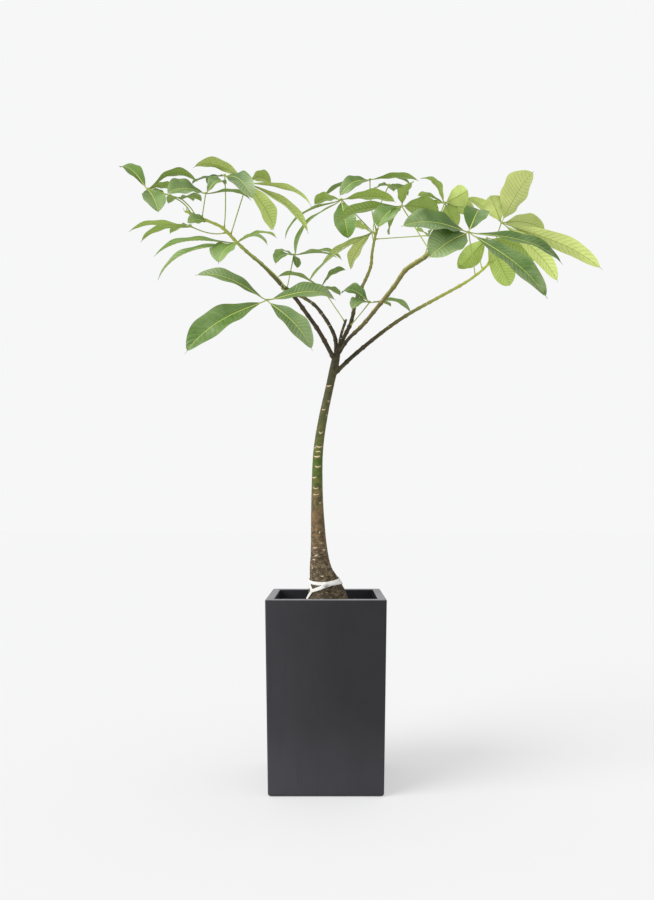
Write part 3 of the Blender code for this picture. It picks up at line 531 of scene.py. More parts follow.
def joined(tree, *pieces):
    """Joins pieces of geometry into one."""
    node = tree.nodes.new("GeometryNodeJoinGeometry")
    for piece in pieces:
        piece.to(node, 0)
    return Flow(tree, node.outputs[0])


def tube_part(tree, edges, sides):
    """Tubes along edges, as thick as their radius attribute says, closed at both ends."""
    path = pass_through(tree, "GeometryNodeMeshToCurve", edges)
    profile = flow_from(tree, "GeometryNodeCurvePrimitiveCircle", {"Resolution": sides, "Radius": 1.0})
    tube = pass_through(tree, "GeometryNodeCurveToMesh", path, {
        "Profile Curve": profile, "Scale": attribute(tree, "radius"), "Fill Caps": True})
    return pass_through(tree, "GeometryNodeSetShadeSmooth", tube)


def tube_tree():
    """Tubes along lines."""
    tree, given = new_group("Raised lines", "GeometryNodeTree", (
        ("Geometry", "geometry", None), ("Sides", "count", 8), ("Material", "material", None)),
        (("Geometry", "geometry", None),))
    tubes = tube_part(tree, given["Geometry"], given["Sides"])
    tubes = pass_through(tree, "GeometryNodeRealizeInstances", tubes)
    tubes = pass_through(tree, "GeometryNodeSetMaterial", tubes, {"Material": given["Material"]})
    close_group(tree, {"Geometry": tubes})
    return tree


def crumb_tree():
    """Scatters crumbs of soil over the upward faces of a surface."""
    tree, given = new_group("Soil crumbs", "GeometryNodeTree", (
        ("Geometry", "geometry", None), ("Density", "number", 20000.0), ("Smallest", "number", 0.0012),
        ("Largest", "number", 0.0045), ("Flatness", "number", 0.75), ("Lowest", "number", 0.0),
        ("Seed", "count", 3), ("Material", "material", None)), (("Geometry", "geometry", None),))
    normal = flow_from(tree, "GeometryNodeInputNormal")
    ground = flow_from(tree, "GeometryNodeInputPosition")
    upward = (normal.parts()[2].work("GREATER_THAN", 0.6)
              * ground.parts()[2].work("GREATER_THAN", given["Lowest"]))
    bed = store(tree, given["Geometry"], "upward", upward, "BOOLEAN", "FACE")
    points = flow_from(tree, "GeometryNodeDistributePointsOnFaces", {
        "Mesh": bed, "Selection": attribute(tree, "upward", "BOOLEAN"), "Density": given["Density"],
        "Seed": given["Seed"]})
    crumb = flow_from(tree, "GeometryNodeMeshIcoSphere", {"Radius": 1.0, "Subdivisions": 1})
    share = flow_from(tree, "FunctionNodeRandomValue", {
        "Min": 0.0, "Max": 1.0, "Seed": given["Seed"]}, "Value", data_type="FLOAT")
    wide = given["Smallest"] + (given["Largest"] - given["Smallest"]) * share**4.0
    turn = flow_from(tree, "FunctionNodeRandomValue", {
        "Min": (0.0, 0.0, 0.0), "Max": (math.tau, math.tau, math.tau), "Seed": 11}, "Value",
        data_type="FLOAT_VECTOR")
    crumbs = flow_from(tree, "GeometryNodeInstanceOnPoints", {
        "Points": points, "Instance": crumb, "Rotation": turn,
        "Scale": vector_of(tree, wide, wide * given["Flatness"], wide * 0.8)})
    crumbs = pass_through(tree, "GeometryNodeRealizeInstances", crumbs)
    place = flow_from(tree, "GeometryNodeInputPosition")
    rough = flow_from(tree, "ShaderNodeTexNoise", {"Vector": place, "Scale": DENT_SCALE}, "Color")
    crumbs = pass_through(tree, "GeometryNodeSetPosition", crumbs, {
        "Offset": (rough + (-0.5, -0.5, -0.5)) * DENT_DEPTH})
    crumbs = pass_through(tree, "GeometryNodeSetMaterial", crumbs, {"Material": given["Material"]})
    close_group(tree, {"Geometry": crumbs})
    return tree


# Side veins: how far towards the tip each has run when it reaches the margin, and how it bends on the way
VEIN_LEAN = 0.10
VEIN_CURVE = 1.3
# Waves of a blade's margin: how far they turn from foot to tip, and how far one margin is ahead of the other
MARGIN_TURN = 17.0
MARGINS_APART = 0.9


def vein_phase(along, across, pairs):
    """Whole numbers on the side veins, which leave the midrib at a slant and bend towards the tip."""
    return (along - across.size() ** VEIN_CURVE * VEIN_LEAN) * pairs


def leaf_tree():
    """A compound leaf: leaflets from points that say how each one lies, and a petiole along the edges."""
    tree, given = new_group("Compound leaf", "GeometryNodeTree", (
        ("Geometry", "geometry", None), ("Rows", "count", 60), ("Columns", "count", 15),
        ("Stalk share", "number", STALK_SHARE), ("Stalk half width", "number", 0.0013),
        ("Widest at", "number", WIDEST_AT), ("Shoulder", "number", SHOULDER),
        ("Arch skew", "number", ARCH_SKEW), ("Fold", "number", math.radians(16)),
        ("Thickness", "number", 0.0005), ("Midrib depth", "number", 0.0015), ("Margin wave", "number", 0.05),
        ("Vein pairs", "number", 12.0), ("Vein height", "number", 0.0006), ("Petiole sides", "count", 8),
        ("Upper face", "material", None), ("Under face", "material", None), ("Petiole", "material", None)),
        (("Geometry", "geometry", None),))
    sheet = flow_from(tree, "GeometryNodeMeshGrid", {
        "Size X": 1.0, "Size Y": 2.0, "Vertices X": given["Rows"], "Vertices Y": given["Columns"]})
    x, y, _ = flow_from(tree, "GeometryNodeInputPosition").parts()
    sheet = store(tree, sheet, "row", x + 0.5)
    sheet = store(tree, sheet, "column", y)
    sheets = flow_from(tree, "GeometryNodeInstanceOnPoints", {
        "Points": given["Geometry"], "Selection": attribute(tree, "leaflet", "BOOLEAN"), "Instance": sheet})
    sheets = pass_through(tree, "GeometryNodeRealizeInstances", sheets)

    share, column = attribute(tree, "row"), attribute(tree, "column")
    stalk = given["Stalk share"]
    along = ((share - stalk) / stalk.rest()).work("MAXIMUM", 0.0)
    across = column * column.size() ** 0.8
    reach, side, over, hub = (
        attribute(tree, name, "FLOAT_VECTOR") for name in ("reach", "side", "over", "hub"))
    width, arch, bow, twist, wave = (
        attribute(tree, name) for name in ("width", "arch", "bow", "twist", "wave"))

    skew = given["Arch skew"]
    crest = skew / (skew + 1.0)
    highest = crest**skew * crest.rest()
    rise = share**skew * share.rest() / highest
    slope = (share ** (skew - 1.0) * skew * share.rest() - share**skew) / highest
    middle = hub + reach * share + over * (arch * rise) + side * (share * share.rest() * bow * 4.0)
    tangent = (reach + over * (arch * slope) + side * ((share * -2.0 + 1.0) * bow * 4.0)).unit()
    flat_normal = side.cross(tangent).unit()
    flat_side = tangent.cross(flat_normal)
    turned = twist * along
    cosine, sine = turned.work("COSINE"), turned.work("SINE")
    edge_way = flat_side * cosine + flat_normal * sine
    normal = flat_normal * cosine - flat_side * sine

    widest = given["Widest at"]
    taper = given["Shoulder"] * widest.rest() / widest
    blade = (along * 1.04).work("MINIMUM", 1.0)
    swell = (blade / widest) ** given["Shoulder"] * (blade.rest() / widest.rest()) ** taper
    least = given["Stalk half width"] * (along * -0.5 + 1.0) * (along.rest() * 18.0).work("MINIMUM", 1.0)
    half = ((width * 0.5 * swell) ** 2.0 + least**2.0).work("SQRT")
    depth = given["Stalk half width"] * (along * -0.7 + 1.0)

    bend = (given["Margin wave"] * width * across * across * (along * along.rest() * 4.0)
            * (along * MARGIN_TURN + wave + across.work("SIGN") * MARGINS_APART).work("SINE"))
    phase = vein_phase(along, across, given["Vein pairs"])
    inside = (across**2.0) ** 3.0
    quilt = (given["Vein height"] * (phase.work("PINGPONG", 0.5) * 2.0) ** 0.7 * inside.rest()
             * half.eased(0.003, 0.010))
    lift = half * given["Fold"].work("SINE") * across.size() ** 1.3 + bend + quilt
    top = middle + edge_way * (half * across * given["Fold"].work("COSINE")) + normal * lift
    rib = (((across * half / depth) ** 2.0).rest()).work("MAXIMUM", 0.0) * given["Midrib depth"]
    bottom = top - normal * (given["Thickness"] * inside.rest() + rib * (along * -0.85 + 1.0))

    sheets = store(tree, sheets, "half", half)
    on_blade = vector_of(tree, along, across * 0.5 + 0.5, 0.0)
    sheets = store(tree, sheets, "blade", on_blade, "FLOAT2", "CORNER")
    upper = pass_through(tree, "GeometryNodeSetPosition", sheets, {"Position": top})
    upper = pass_through(tree, "GeometryNodeFlipFaces", upper)
    upper = store(tree, upper, "part", 1.0, "FLOAT", "FACE")
    under = pass_through(tree, "GeometryNodeSetPosition", sheets, {"Position": bottom})
    under = store(tree, under, "part", 2.0, "FLOAT", "FACE")
    blades = pass_through(tree, "GeometryNodeMergeByDistance", joined(tree, upper, under), {
        "Distance": 0.00002})
    blades = pass_through(tree, "GeometryNodeSetShadeSmooth", blades)
    margin = attribute(tree, "column").size().work("GREATER_THAN", 0.98)
    blades = store(tree, blades, "sharp_edge", margin, "BOOLEAN", "EDGE")
    petiole = tube_part(tree, given["Geometry"], given["Petiole sides"])
    leaf = pass_through(tree, "GeometryNodeRealizeInstances", joined(tree, petiole, blades))
    part = attribute(tree, "part")
    leaf = pass_through(tree, "GeometryNodeSetMaterial", leaf, {"Material": given["Petiole"]})
    for face, low in (("Upper face", 0.5), ("Under face", 1.5)):
        leaf = pass_through(tree, "GeometryNodeSetMaterial", leaf, {
            "Selection": part.work("GREATER_THAN", low), "Material": given[face]})
    close_group(tree, {"Geometry": leaf})
    return tree


def grow(item, tree, values):
    """Runs a geometry tree on an object, and leaves the result as its plain mesh."""
    modifier = item.modifiers.new(tree.name, "NODES")
    modifier.node_group = tree
    names = {socket.name: socket.identifier for socket in tree.interface.items_tree
             if socket.item_type == "SOCKET" and socket.in_out == "INPUT"}
    for label, value in values.items():
        modifier[names[label]] = value
    settle(item)


def settle(item):
    """Leaves what an object's modifiers make as its plain mesh, without empty material slots."""
    bpy.context.view_layer.update()
    depsgraph = bpy.context.evaluated_depsgraph_get()
    evaluated = item.evaluated_get(depsgraph)
    mesh = bpy.data.meshes.new_from_object(evaluated, preserve_all_data_layers=True, depsgraph=depsgraph)
    if not mesh.polygons:
        raise RuntimeError(item.name + " came out empty")
    item.modifiers.clear()
    old = item.data
    item.data = mesh
    bpy.data.meshes.remove(old)
    mesh.name = item.name
    while None in mesh.materials[:]:
        slot = mesh.materials[:].index(None)
        numbers = [polygon.material_index for polygon in mesh.polygons]
        mesh.materials.pop(index=slot)
        mesh.polygons.foreach_set("material_index", [number - (number > slot) for number in numbers])


# Shapes

def new_object(name, points, faces, edges=(), material=None):
    mesh = bpy.data.meshes.new(name)
    mesh.from_pydata([tuple(point) for point in points], list(edges), faces)
    if faces:
        shape = bmesh.new()
        shape.from_mesh(mesh)
        bmesh.ops.recalc_face_normals(shape, faces=shape.faces)
        shape.to_mesh(mesh)
        shape.free()
    item = bpy.data.objects.new(name, mesh)
    bpy.context.scene.collection.objects.link(item)
    if material:
        mesh.materials.append(material)
    return item


def set_attribute(mesh, name, kind, values):
    layer = mesh.attributes.get(name) or mesh.attributes.new(name, kind, "POINT")
    key = "vector" if kind == "FLOAT_VECTOR" else "value"
    layer.data.foreach_set(key, np.asarray(values).ravel())


def skin(rings, closed=False):
    """Points and faces of a skin over rings of equal count, capped at both ends unless closed on itself."""
    count = len(rings[0])
    points = [point for ring in rings for point in ring]
    faces = []
    for row in range(len(rings) if closed else len(rings) - 1):
        lower = row * count
        upper = ((row + 1) % len(rings)) * count
        for side in range(count):
            ahead = (side + 1) % count
            faces.append((lower + side, lower + ahead, upper + ahead, upper + side))
    if not closed:
        last = (len(rings) - 1) * count
        faces.append(tuple(range(count - 1, -1, -1)))
        faces.append(tuple(range(last, last + count)))
    return points, faces


def add_skin(points, faces, rings, closed=False):
    """Adds the skin over some rings to the points and faces gathered so far."""
    start = len(points)
    more_points, more_faces = skin(rings, closed)
    points += more_points
    faces += [tuple(corner + start for corner in face) for face in more_faces]


def add_line(points, edges, radii, places, widths):
    """Adds a line, with its radius at each place, to the lines gathered so far."""
    start = len(points)
    points += places
    radii += widths
    edges += [(start + step, start + step + 1) for step in range(len(places) - 1)]


def shade_smooth(mesh):
    for polygon in mesh.polygons:
        polygon.use_smooth = True


def curve_point(start, bend, end, share):
    """A point on the curve that leaves start towards bend and reaches end from there."""
    return start * (1 - share) ** 2 + bend * 2 * share * (1 - share) + end * share**2


def smooth_row(rows, at):
    """Reads a table of rows, whose first value is the place, along a smooth curve through them."""
    if at <= rows[0][0]:
        return rows[0][1:]
    if at >= rows[-1][0]:
        return rows[-1][1:]
    low = max(index for index, row in enumerate(rows) if row[0] <= at)
    span = rows[low + 1][0] - rows[low][0]
    step = (at - rows[low][0]) / span
    values = []
    for column in range(1, len(rows[0])):
        start, end = rows[low][column], rows[low + 1][column]
        before = rows[max(low - 1, 0)]
        after = rows[min(low + 2, len(rows) - 1)]
        slope_in = (end - before[column]) / (rows[low + 1][0] - before[0]) * span
        slope_out = (after[column] - start) / (after[0] - rows[low][0]) * span
        values.append((2 * step**3 - 3 * step**2 + 1) * start + (step**3 - 2 * step**2 + step) * slope_in
                      + (3 * step**2 - 2 * step**3) * end + (step**3 - step**2) * slope_out)
    return values


def ramp(value, start, end):
    """0 before start, 1 after end, eased between."""
    share = min(max((value - start) / (end - start), 0.0), 1.0)
    return share * share * (3 - 2 * share)


def square_ring(half, corner, height, steps, round_share=0.0, radius=0.0):
    """A level square ring with rounded corners, or part of the way from it to a round ring."""
    ring = []
    for quarter in range(4):
        for step in range(steps):
            turn = math.radians(90 * (quarter + step / (steps - 1)))
            sign_x = 1 if quarter in (0, 3) else -1
            sign_y = 1 if quarter in (0, 1) else -1
            square = Vector((sign_x * (half - corner) + corner * math.cos(turn),
                             sign_y * (half - corner) + corner * math.sin(turn), height))
            even_turn = math.radians(90 * (quarter + (step + 0.5) / steps))
            circle = Vector((STEM[0][1] + radius * math.cos(even_turn),
                             STEM[0][2] + radius * math.sin(even_turn), height))
            ring.append(square.lerp(circle, round_share))
    return ring


def pot_half_width(height):
    share = height / POT_HEIGHT
    return (POT_FOOT_WIDTH + (POT_WIDTH - POT_FOOT_WIDTH) * share) / 2


def stem_point(height, turn, clearance=0.0):
    """A point on the stem's surface, or a little outside it."""
    across, back, radius = smooth_row(STEM, height)
    lobes = ramp(height, LOBES_START, LOBES_FULL) * (1 - ramp(height, LOBES_FULL, LOBES_END))
    bulge = sum(strength * math.cos(count * turn + start) for count, strength, start in ROOT_LOBES)
    reach = radius * (1 + lobes * bulge) + clearance
    return Vector((across + reach * math.cos(turn), back + reach * math.sin(turn), height))


def smooth_path(places):
    """Rows of length and place for a smooth curve through chosen places, and its whole length."""
    places = [Vector(place) for place in places]
    lengths = [0.0]
    for before, after in zip(places, places[1:]):
        lengths.append(lengths[-1] + (after - before).length)
    return [(length, *place) for length, place in zip(lengths, places)], lengths[-1]


def path_point(rows, length):
    return Vector(smooth_row(rows, length))


def path_direction(rows, length):
    return (path_point(rows, length + PROBE) - path_point(rows, length - PROBE)).normalized()


def tube_rings(places, radii, sides):
    """Rings square to a path, turned as little as possible from one to the next."""
    rings = []
    across = None
    for index, place in enumerate(places):
        along = (places[min(index + 1, len(places) - 1)] - places[max(index - 1, 0)]).normalized()
        if across is None:
            across = along.orthogonal().normalized()
        across = (across - along * across.dot(along)).normalized()
        over = along.cross(across)
        rings.append([place + radii[index] * (across * math.cos(math.tau * side / sides)
                                              + over * math.sin(math.tau * side / sides))
                      for side in range(sides)])
    return rings


def branch_radius(name, share):
    _, foot, tip = BRANCHES[name]
    return foot + (tip - foot) * share


def leaf_root(leaf):
    """Where a leaf meets its cushion: the branch's middle, the way it leaves and how far out it starts."""
    branch, share, hub = leaf[:3]
    rows, length = smooth_path(BRANCHES[branch][0])
    middle = path_point(rows, share * length)
    along = path_direction(rows, min(share, NEAR_TIP) * length)
    wish = Vector(hub) - middle
    aside = (wish - along * wish.dot(along)).normalized()
    angle = min(max(wish.angle(along), LEAST_ROOT_ANGLE), math.pi - LEAST_ROOT_ANGLE)
    outward = along * math.cos(angle) + aside * math.sin(angle)
    reach = (branch_radius(branch, share) + CUSHION_RISE
             + PETIOLE_FOOT_RADIUS * abs(math.cos(angle))) / math.sin(angle)
    return middle, outward, reach


# Finishes

def colour(red, green, blue):
    """A colour from its screen values out of 255."""
    return tuple((value / 255 / 12.92) if value <= 10 else ((value / 255 + 0.055) / 1.055) ** 2.4
                 for value in (red, green, blue)) + (1.0,)


def new_material(name, roughness):
    material = bpy.data.materials.new(name)
    material.use_nodes = True
    tree = material.node_tree
    surface = tree.nodes["Principled BSDF"]
    surface.inputs["Roughness"].default_value = roughness
    return material, tree, surface


def blend(tree, share, first, second):
    """Mixes two colours by a share."""
    return flow_from(tree, "ShaderNodeMix", {"Factor": share, "A": first, "B": second}, "Result",
                     data_type="RGBA")


def colour_run(tree, share, stops):
    """A colour that runs through stops: place, colour."""
    node = put(tree, "ShaderNodeValToRGB", {0: share})
    elements = node.color_ramp.elements
    elements[0].position, elements[0].color = stops[0]
    elements[1].position, elements[1].color = stops[-1]
    for position, value in stops[1:-1]:
        element = elements.new(position)
        element.color = value
    return Flow(tree, node.outputs[0])


def place_flow(tree):
    return flow_from(tree, "ShaderNodeTexCoord", output="Object")


def attribute_flow(tree, name, output="Fac"):
    return flow_from(tree, "ShaderNodeAttribute", output=output, attribute_name=name)


def noise_flow(tree, vector, scale, detail=4.0, roughness=0.6):
    return flow_from(tree, "ShaderNodeTexNoise", {
        "Vector": vector, "Scale": scale, "Detail": detail, "Roughness": roughness})


def use_group(tree, group, inputs):
    """Places a node group in a tree with its own values, and gives what comes out of it by name."""
    node = put(tree, "ShaderNodeGroup", inputs, node_tree=group)
    return {socket.name: Flow(tree, socket) for socket in node.outputs}


def bump(tree, surface, height, distance, strength=1.0):
    normal = flow_from(tree, "ShaderNodeBump", {
        "Height": height, "Distance": distance, "Strength": strength})
    normal.to(surface, "Normal")


def mottle_group():
    """Soft patches of two sizes."""
    tree, given = new_group("Mottle", "ShaderNodeTree", (
        ("Vector", "vector", None), ("Scale", "number", 10.0), ("Sharpness", "number", 0.3)),
        (("Mask", "number", None),))
    large = noise_flow(tree, given["Vector"], given["Scale"], 2.0)
    small = noise_flow(tree, given["Vector"], given["Scale"] * 4.7, 4.0)
    both = large * 0.65 + small * 0.35
    mask = ((both - 0.5) / given["Sharpness"] + 0.5).work("MAXIMUM", 0.0).work("MINIMUM", 1.0)
    close_group(tree, {"Mask": mask})
    return tree


def fleck_group():
    """Small scattered spots."""
    tree, given = new_group("Flecks", "ShaderNodeTree", (
        ("Vector", "vector", None), ("Scale", "number", 200.0), ("Spot size", "number", 0.3),
        ("Share", "number", 0.5)), (("Mask", "number", None),))
    cells = put(tree, "ShaderNodeTexVoronoi", {"Vector": given["Vector"], "Scale": given["Scale"]})
    near = Flow(tree, cells.outputs["Distance"])
    luck = flow_from(tree, "ShaderNodeSeparateColor", {0: Flow(tree, cells.outputs["Color"])})
    spot = (near / given["Spot size"]).eased(0.5, 1.0).rest()
    close_group(tree, {"Mask": spot * luck.work("LESS_THAN", given["Share"])})
    return tree


def vein_group():
    """A leaflet's midrib and side veins."""
    tree, given = new_group("Leaf veins", "ShaderNodeTree", (
        ("Along", "number", 0.0), ("Across", "number", 0.0), ("Half width", "number", 0.01),
        ("Pairs", "number", 12.0), ("Midrib width", "number", 0.0016), ("Vein share", "number", 0.3)),
        (("Midrib", "number", None), ("Side veins", "number", None), ("Quilts", "number", None)))
    aside = given["Across"].size()
    breadth = given["Midrib width"] * (given["Along"] * -0.7 + 1.0)
    midrib = (aside * given["Half width"] / breadth).eased(0.45, 1.1).rest()
    gap = vein_phase(given["Along"], given["Across"], given["Pairs"]).work("PINGPONG", 0.5) * 2.0
    veins = (gap / given["Vein share"]).eased(0.1, 1.0).rest() * aside.eased(0.75, 1.0).rest()
    quilts = gap.eased(0.30, 0.95) * aside.eased(0.05, 0.30) * aside.eased(0.98, 0.70)
    close_group(tree, {"Midrib": midrib, "Side veins": veins, "Quilts": quilts})
    return tree


def mottle(tree, vector, scale, sharpness):
    """A mask of soft patches."""
    return use_group(tree, shared("Mottle", mottle_group), {
        "Vector": vector, "Scale": scale, "Sharpness": sharpness})["Mask"]


def flecks(tree, vector, scale, size, share):
    """A mask of small spots: their size within their cell, and the share of the cells that have one."""
    return use_group(tree, shared("Flecks", fleck_group), {
        "Vector": vector, "Scale": scale, "Spot size": size, "Share": share})["Mask"]


def fibre_clay(settings):
    """Charcoal clay with a fine grit and painted light: paler towards -X, paler towards the foot with dust and
    a painted floor reflection, painted shade along its lowest edge, and a rim pale with wear and a painted
    highlight.
    """
    material, tree, surface = new_material("fibre_clay", 0.62)
    surface.inputs["Specular IOR Level"].default_value = 0.30
    place = place_flow(tree)
    side, _, height = place.parts()
    patches = mottle(tree, place, 9.0, 0.35)
    grit = flecks(tree, place, 620.0, 0.35, 0.30)
    streaks = noise_flow(tree, place * (60.0, 60.0, 5.0), 1.0, 3.0)
    base = (*settings.colour, 1.0)
    light = tuple(min(value * 2.6 + 0.008, 1.0) for value in settings.colour) + (1.0,)
    dark = tuple(value * 0.6 for value in settings.colour) + (1.0,)
    clouds = mottle(tree, place, 3.2, 0.45)
    # Painted light makes the clay paler towards -X; dust and a painted reflection of the floor make it paler
    # towards the foot; the clouds are its own uneven tone.
    paler = side.eased(*PAINTED_SIDE_LIGHT) * 0.52 + height.eased(*FOOT_DUST_AND_PAINTED_REFLECTION) * 0.46 + (clouds - 0.5) * 0.36
    tint = blend(tree, paler.work("MAXIMUM", 0.0), base, light)
    tint = blend(tree, patches * 0.14, tint, light)
    tint = blend(tree, streaks.eased(0.55, 0.8) * 0.30, tint, dark)
    tint = blend(tree, grit * 0.16, tint, light)
    # Painted shade darkens the lowest edge, where the planter meets the floor.
    tint = blend(tree, height.eased(*PAINTED_FOOT_SHADE) * 0.5, tint, dark)
    # The rim is pale partly with wear and partly with a painted highlight.
    wear_and_sheen = grit * 0.25 + patches * 0.15 + 0.60
    rim = height.eased(*RIM_WEAR_AND_HIGHLIGHT) * wear_and_sheen
    tint = blend(tree, rim, tint, colour(158, 158, 162))
    tint.to(surface, "Base Color")
    rough = patches * 0.10 + grit * 0.08 + settings.roughness
    rough.to(surface, "Roughness")
    fine = noise_flow(tree, place, 900.0, 3.0)
    bump(tree, surface, fine * 0.5 + grit * 0.4 + patches * 0.9, 0.00022, 0.6)
    return material


def earth(settings):
    """Damp dark soil with paler fibres in it."""
    material, tree, surface = new_material("soil", 0.95)
    place = place_flow(tree)
    patches = mottle(tree, place, 45.0, 0.3)
    fibres = flecks(tree, place * (1.0, 0.35, 1.0), 260.0, 0.3, 0.15)
    tint = blend(tree, patches, (*settings.colour, 1.0), colour(92, 70, 50))
    tint = blend(tree, fibres * 0.7, tint, colour(150, 122, 88))
    tint.to(surface, "Base Color")
    bump(tree, surface, noise_flow(tree, place, 500.0, 6.0, 0.7), 0.0008)
    return material


def perlite():
    """The white grains in potting soil."""
    material, tree, surface = new_material("perlite", 0.85)
    place = place_flow(tree)
    grain = noise_flow(tree, place, 700.0, 4.0)
    tint = blend(tree, grain, colour(196, 190, 178), colour(236, 233, 226))
    tint.to(surface, "Base Color")
    bump(tree, surface, grain, 0.0004)
    return material


def bark(settings):
    """Brown and cracked at the foot, green higher up, dark at the fork partly with painted shade where the
    branches meet, yellow-green on the young shoots, and with painted light on the upper sides of woody
    branches and painted shade beneath them.
    """
    material, tree, surface = new_material("bark", 0.62)
    surface.inputs["Specular IOR Level"].default_value = 0.22
    place = place_flow(tree)
    _, _, height = place.parts()
    wander = (noise_flow(tree, place, 22.0, 2.0) - 0.5) * 0.05
    up = ((height + wander) - BARK_START) / BARK_LENGTH
    # Up the trunk. Its last stops darken it at the fork, partly as dark bark and partly as painted shade where
    # the branches meet.
    trunk = colour_run(tree, up, (
        (0.00, colour(84, 72, 58)), (0.12, colour(84, 74, 58)), (0.24, colour(104, 86, 62)),
        (0.34, colour(120, 98, 66)), (0.44, colour(114, 100, 62)), (0.49, colour(92, 108, 44)),
        (0.60, colour(86, 112, 38)), (0.66, colour(90, 108, 50)), (0.80, colour(88, 98, 60)),
        (0.90, colour(70, 76, 50)), (1.00, colour(42, 44, 32))))
    shoot = attribute_flow(tree, "shoot")
    # Along the branches. The first stops darken them at the fork, partly as dark bark and partly as painted
    # shade where they meet.
    young = colour_run(tree, shoot, (
        (0.00, colour(40, 41, 30)), (0.18, colour(56, 57, 38)), (0.38, colour(114, 120, 64)),
        (0.58, colour(176, 186, 90)), (0.80, colour(194, 208, 90)), (1.00, colour(204, 222, 90))))
    tint = blend(tree, shoot.eased(0.0, 0.12), trunk, young)
    on_trunk = shoot.eased(0.12, 0.02)
    # Woody branches get painted light on their upper sides and painted shade on their under sides.
    painted_top_light = attribute_flow(tree, "painted_top_light")
    wood = blend(tree, painted_top_light.eased(-0.5, 0.8), colour(80, 74, 48), colour(176, 168, 110))
    tint = blend(tree, attribute_flow(tree, "woody") * shoot.eased(0.10, 0.40), tint, wood)
    patches = mottle(tree, place * (1.0, 1.0, 1.7), 60.0, 0.22)
    tan_zone = height.eased(*TAN_BEGINS) * (height.eased(*TAN_ENDS) + height.eased(*UPPER_TAN_BEGINS) * 0.5)
    tint = blend(tree, patches * tan_zone * 0.45, tint, colour(150, 116, 76))
    blotches = mottle(tree, place * (1.0, 1.0, 0.8), 34.0, 0.12)
    tan_blotches = blotches * height.eased(*UPPER_TAN_BEGINS) * height.eased(*UPPER_TAN_ENDS) * on_trunk
    tint = blend(tree, tan_blotches * 0.30, tint, colour(120, 102, 70))
    green_blotches = blotches.rest() * height.eased(*GREEN_BEGINS) * height.eased(*GREEN_ENDS)
    tint = blend(tree, green_blotches * 0.55, tint, colour(82, 100, 52))
    cracked = mottle(tree, place * (1.0, 1.0, 0.8), 105.0, 0.12)
    crack_zone = height.eased(*CRACKS_END) * on_trunk
    tint = blend(tree, cracked * crack_zone * 0.38, tint, colour(158, 130, 92))
    tint = blend(tree, cracked.rest() * crack_zone * 0.38, tint, colour(62, 52, 38))
    tint = blend(tree, patches.rest() * (on_trunk * 0.32 + 0.18), tint, colour(44, 47, 29))
    streaks = noise_flow(tree, place * (150.0, 150.0, 620.0), 1.0, 3.0)
    tint = blend(tree, streaks.eased(0.52, 0.72) * 0.30, tint, colour(46, 45, 34))
    tint = blend(tree, attribute_flow(tree, "scar") * 0.55, tint, colour(150, 112, 66))
    foot = height.eased(*FOOT_ENDS)
    wrinkles = noise_flow(tree, place * (70.0, 70.0, 230.0), 1.0, 4.0, 0.65)
    tint = blend(tree, wrinkles.eased(0.53, 0.64) * foot * 0.60, tint, colour(160, 144, 118))
    tint = blend(tree, wrinkles.eased(0.47, 0.38) * foot * 0.60, tint, colour(44, 38, 30))
    spots = flecks(tree, place * (0.7, 0.7, 1.5), 230.0, 0.36, 0.22)
    tint = blend(tree, spots * (foot * 0.62 + 0.12), tint, colour(190, 174, 144))
    tint.to(surface, "Base Color")
    rough = patches * 0.12 + settings.roughness
    rough.to(surface, "Roughness")
    coarse = noise_flow(tree, place * (1.0, 1.0, 0.7), 260.0, 5.0)
    relief = coarse + spots * 0.3 + streaks * 0.3 + wrinkles * foot * 1.6 + cracked * crack_zone
    bump(tree, surface, relief, 0.0009, 0.8)
    return material


def scar_tissue():
    """Pale corky tissue where a leaf has fallen."""
    material, tree, surface = new_material("scar_tissue", 0.75)
    place = place_flow(tree)
    patches = mottle(tree, place, 160.0, 0.4)
    tint = blend(tree, patches * 0.55, colour(236, 226, 196), colour(184, 158, 114))
    tint.to(surface, "Base Color")
    bump(tree, surface, noise_flow(tree, place, 600.0), 0.0003)
    return material


def cotton_tape(settings):
    """Plain woven tape, with its threads along and across."""
    material, tree, surface = new_material("tape", 0.85)
    run = attribute_flow(tree, "strip", "Vector")
    long, wide, _ = run.parts()
    warp = (wide * (math.tau / WARP_THREAD)).work("SINE")
    weft = (long * (math.tau / WEFT_THREAD)).work("SINE")
    weave = warp * weft * 0.5 + 0.5
    soil_mark = noise_flow(tree, place_flow(tree), 90.0, 4.0)
    tint = blend(tree, weave * 0.18, (*settings.colour, 1.0), colour(206, 202, 190))
    tint = blend(tree, soil_mark.eased(0.55, 0.8) * 0.30, tint, colour(168, 156, 130))
    tint.to(surface, "Base Color")
    bump(tree, surface, weave, 0.00018)
    return material


def blade_parts(tree, pairs, vein_share):
    """What both faces of a blade are painted by: places along and across, veins and how pale the leaf is."""
    along, across, _ = flow_from(tree, "ShaderNodeUVMap", uv_map="blade").parts()
    across = across * 2.0 - 1.0
    lines = use_group(tree, shared("Leaf veins", vein_group), {
        "Along": along, "Across": across, "Half width": attribute_flow(tree, "half"), "Pairs": pairs,
        "Vein share": vein_share})
    return along, across, lines, attribute_flow(tree, "tone")


def dried_tip(tree, tint, along, patches):
    """Browns a blade's very tip, unevenly."""
    return blend(tree, (along + patches * 0.03).eased(0.965, 1.0) * 0.85, tint, colour(74, 58, 34))


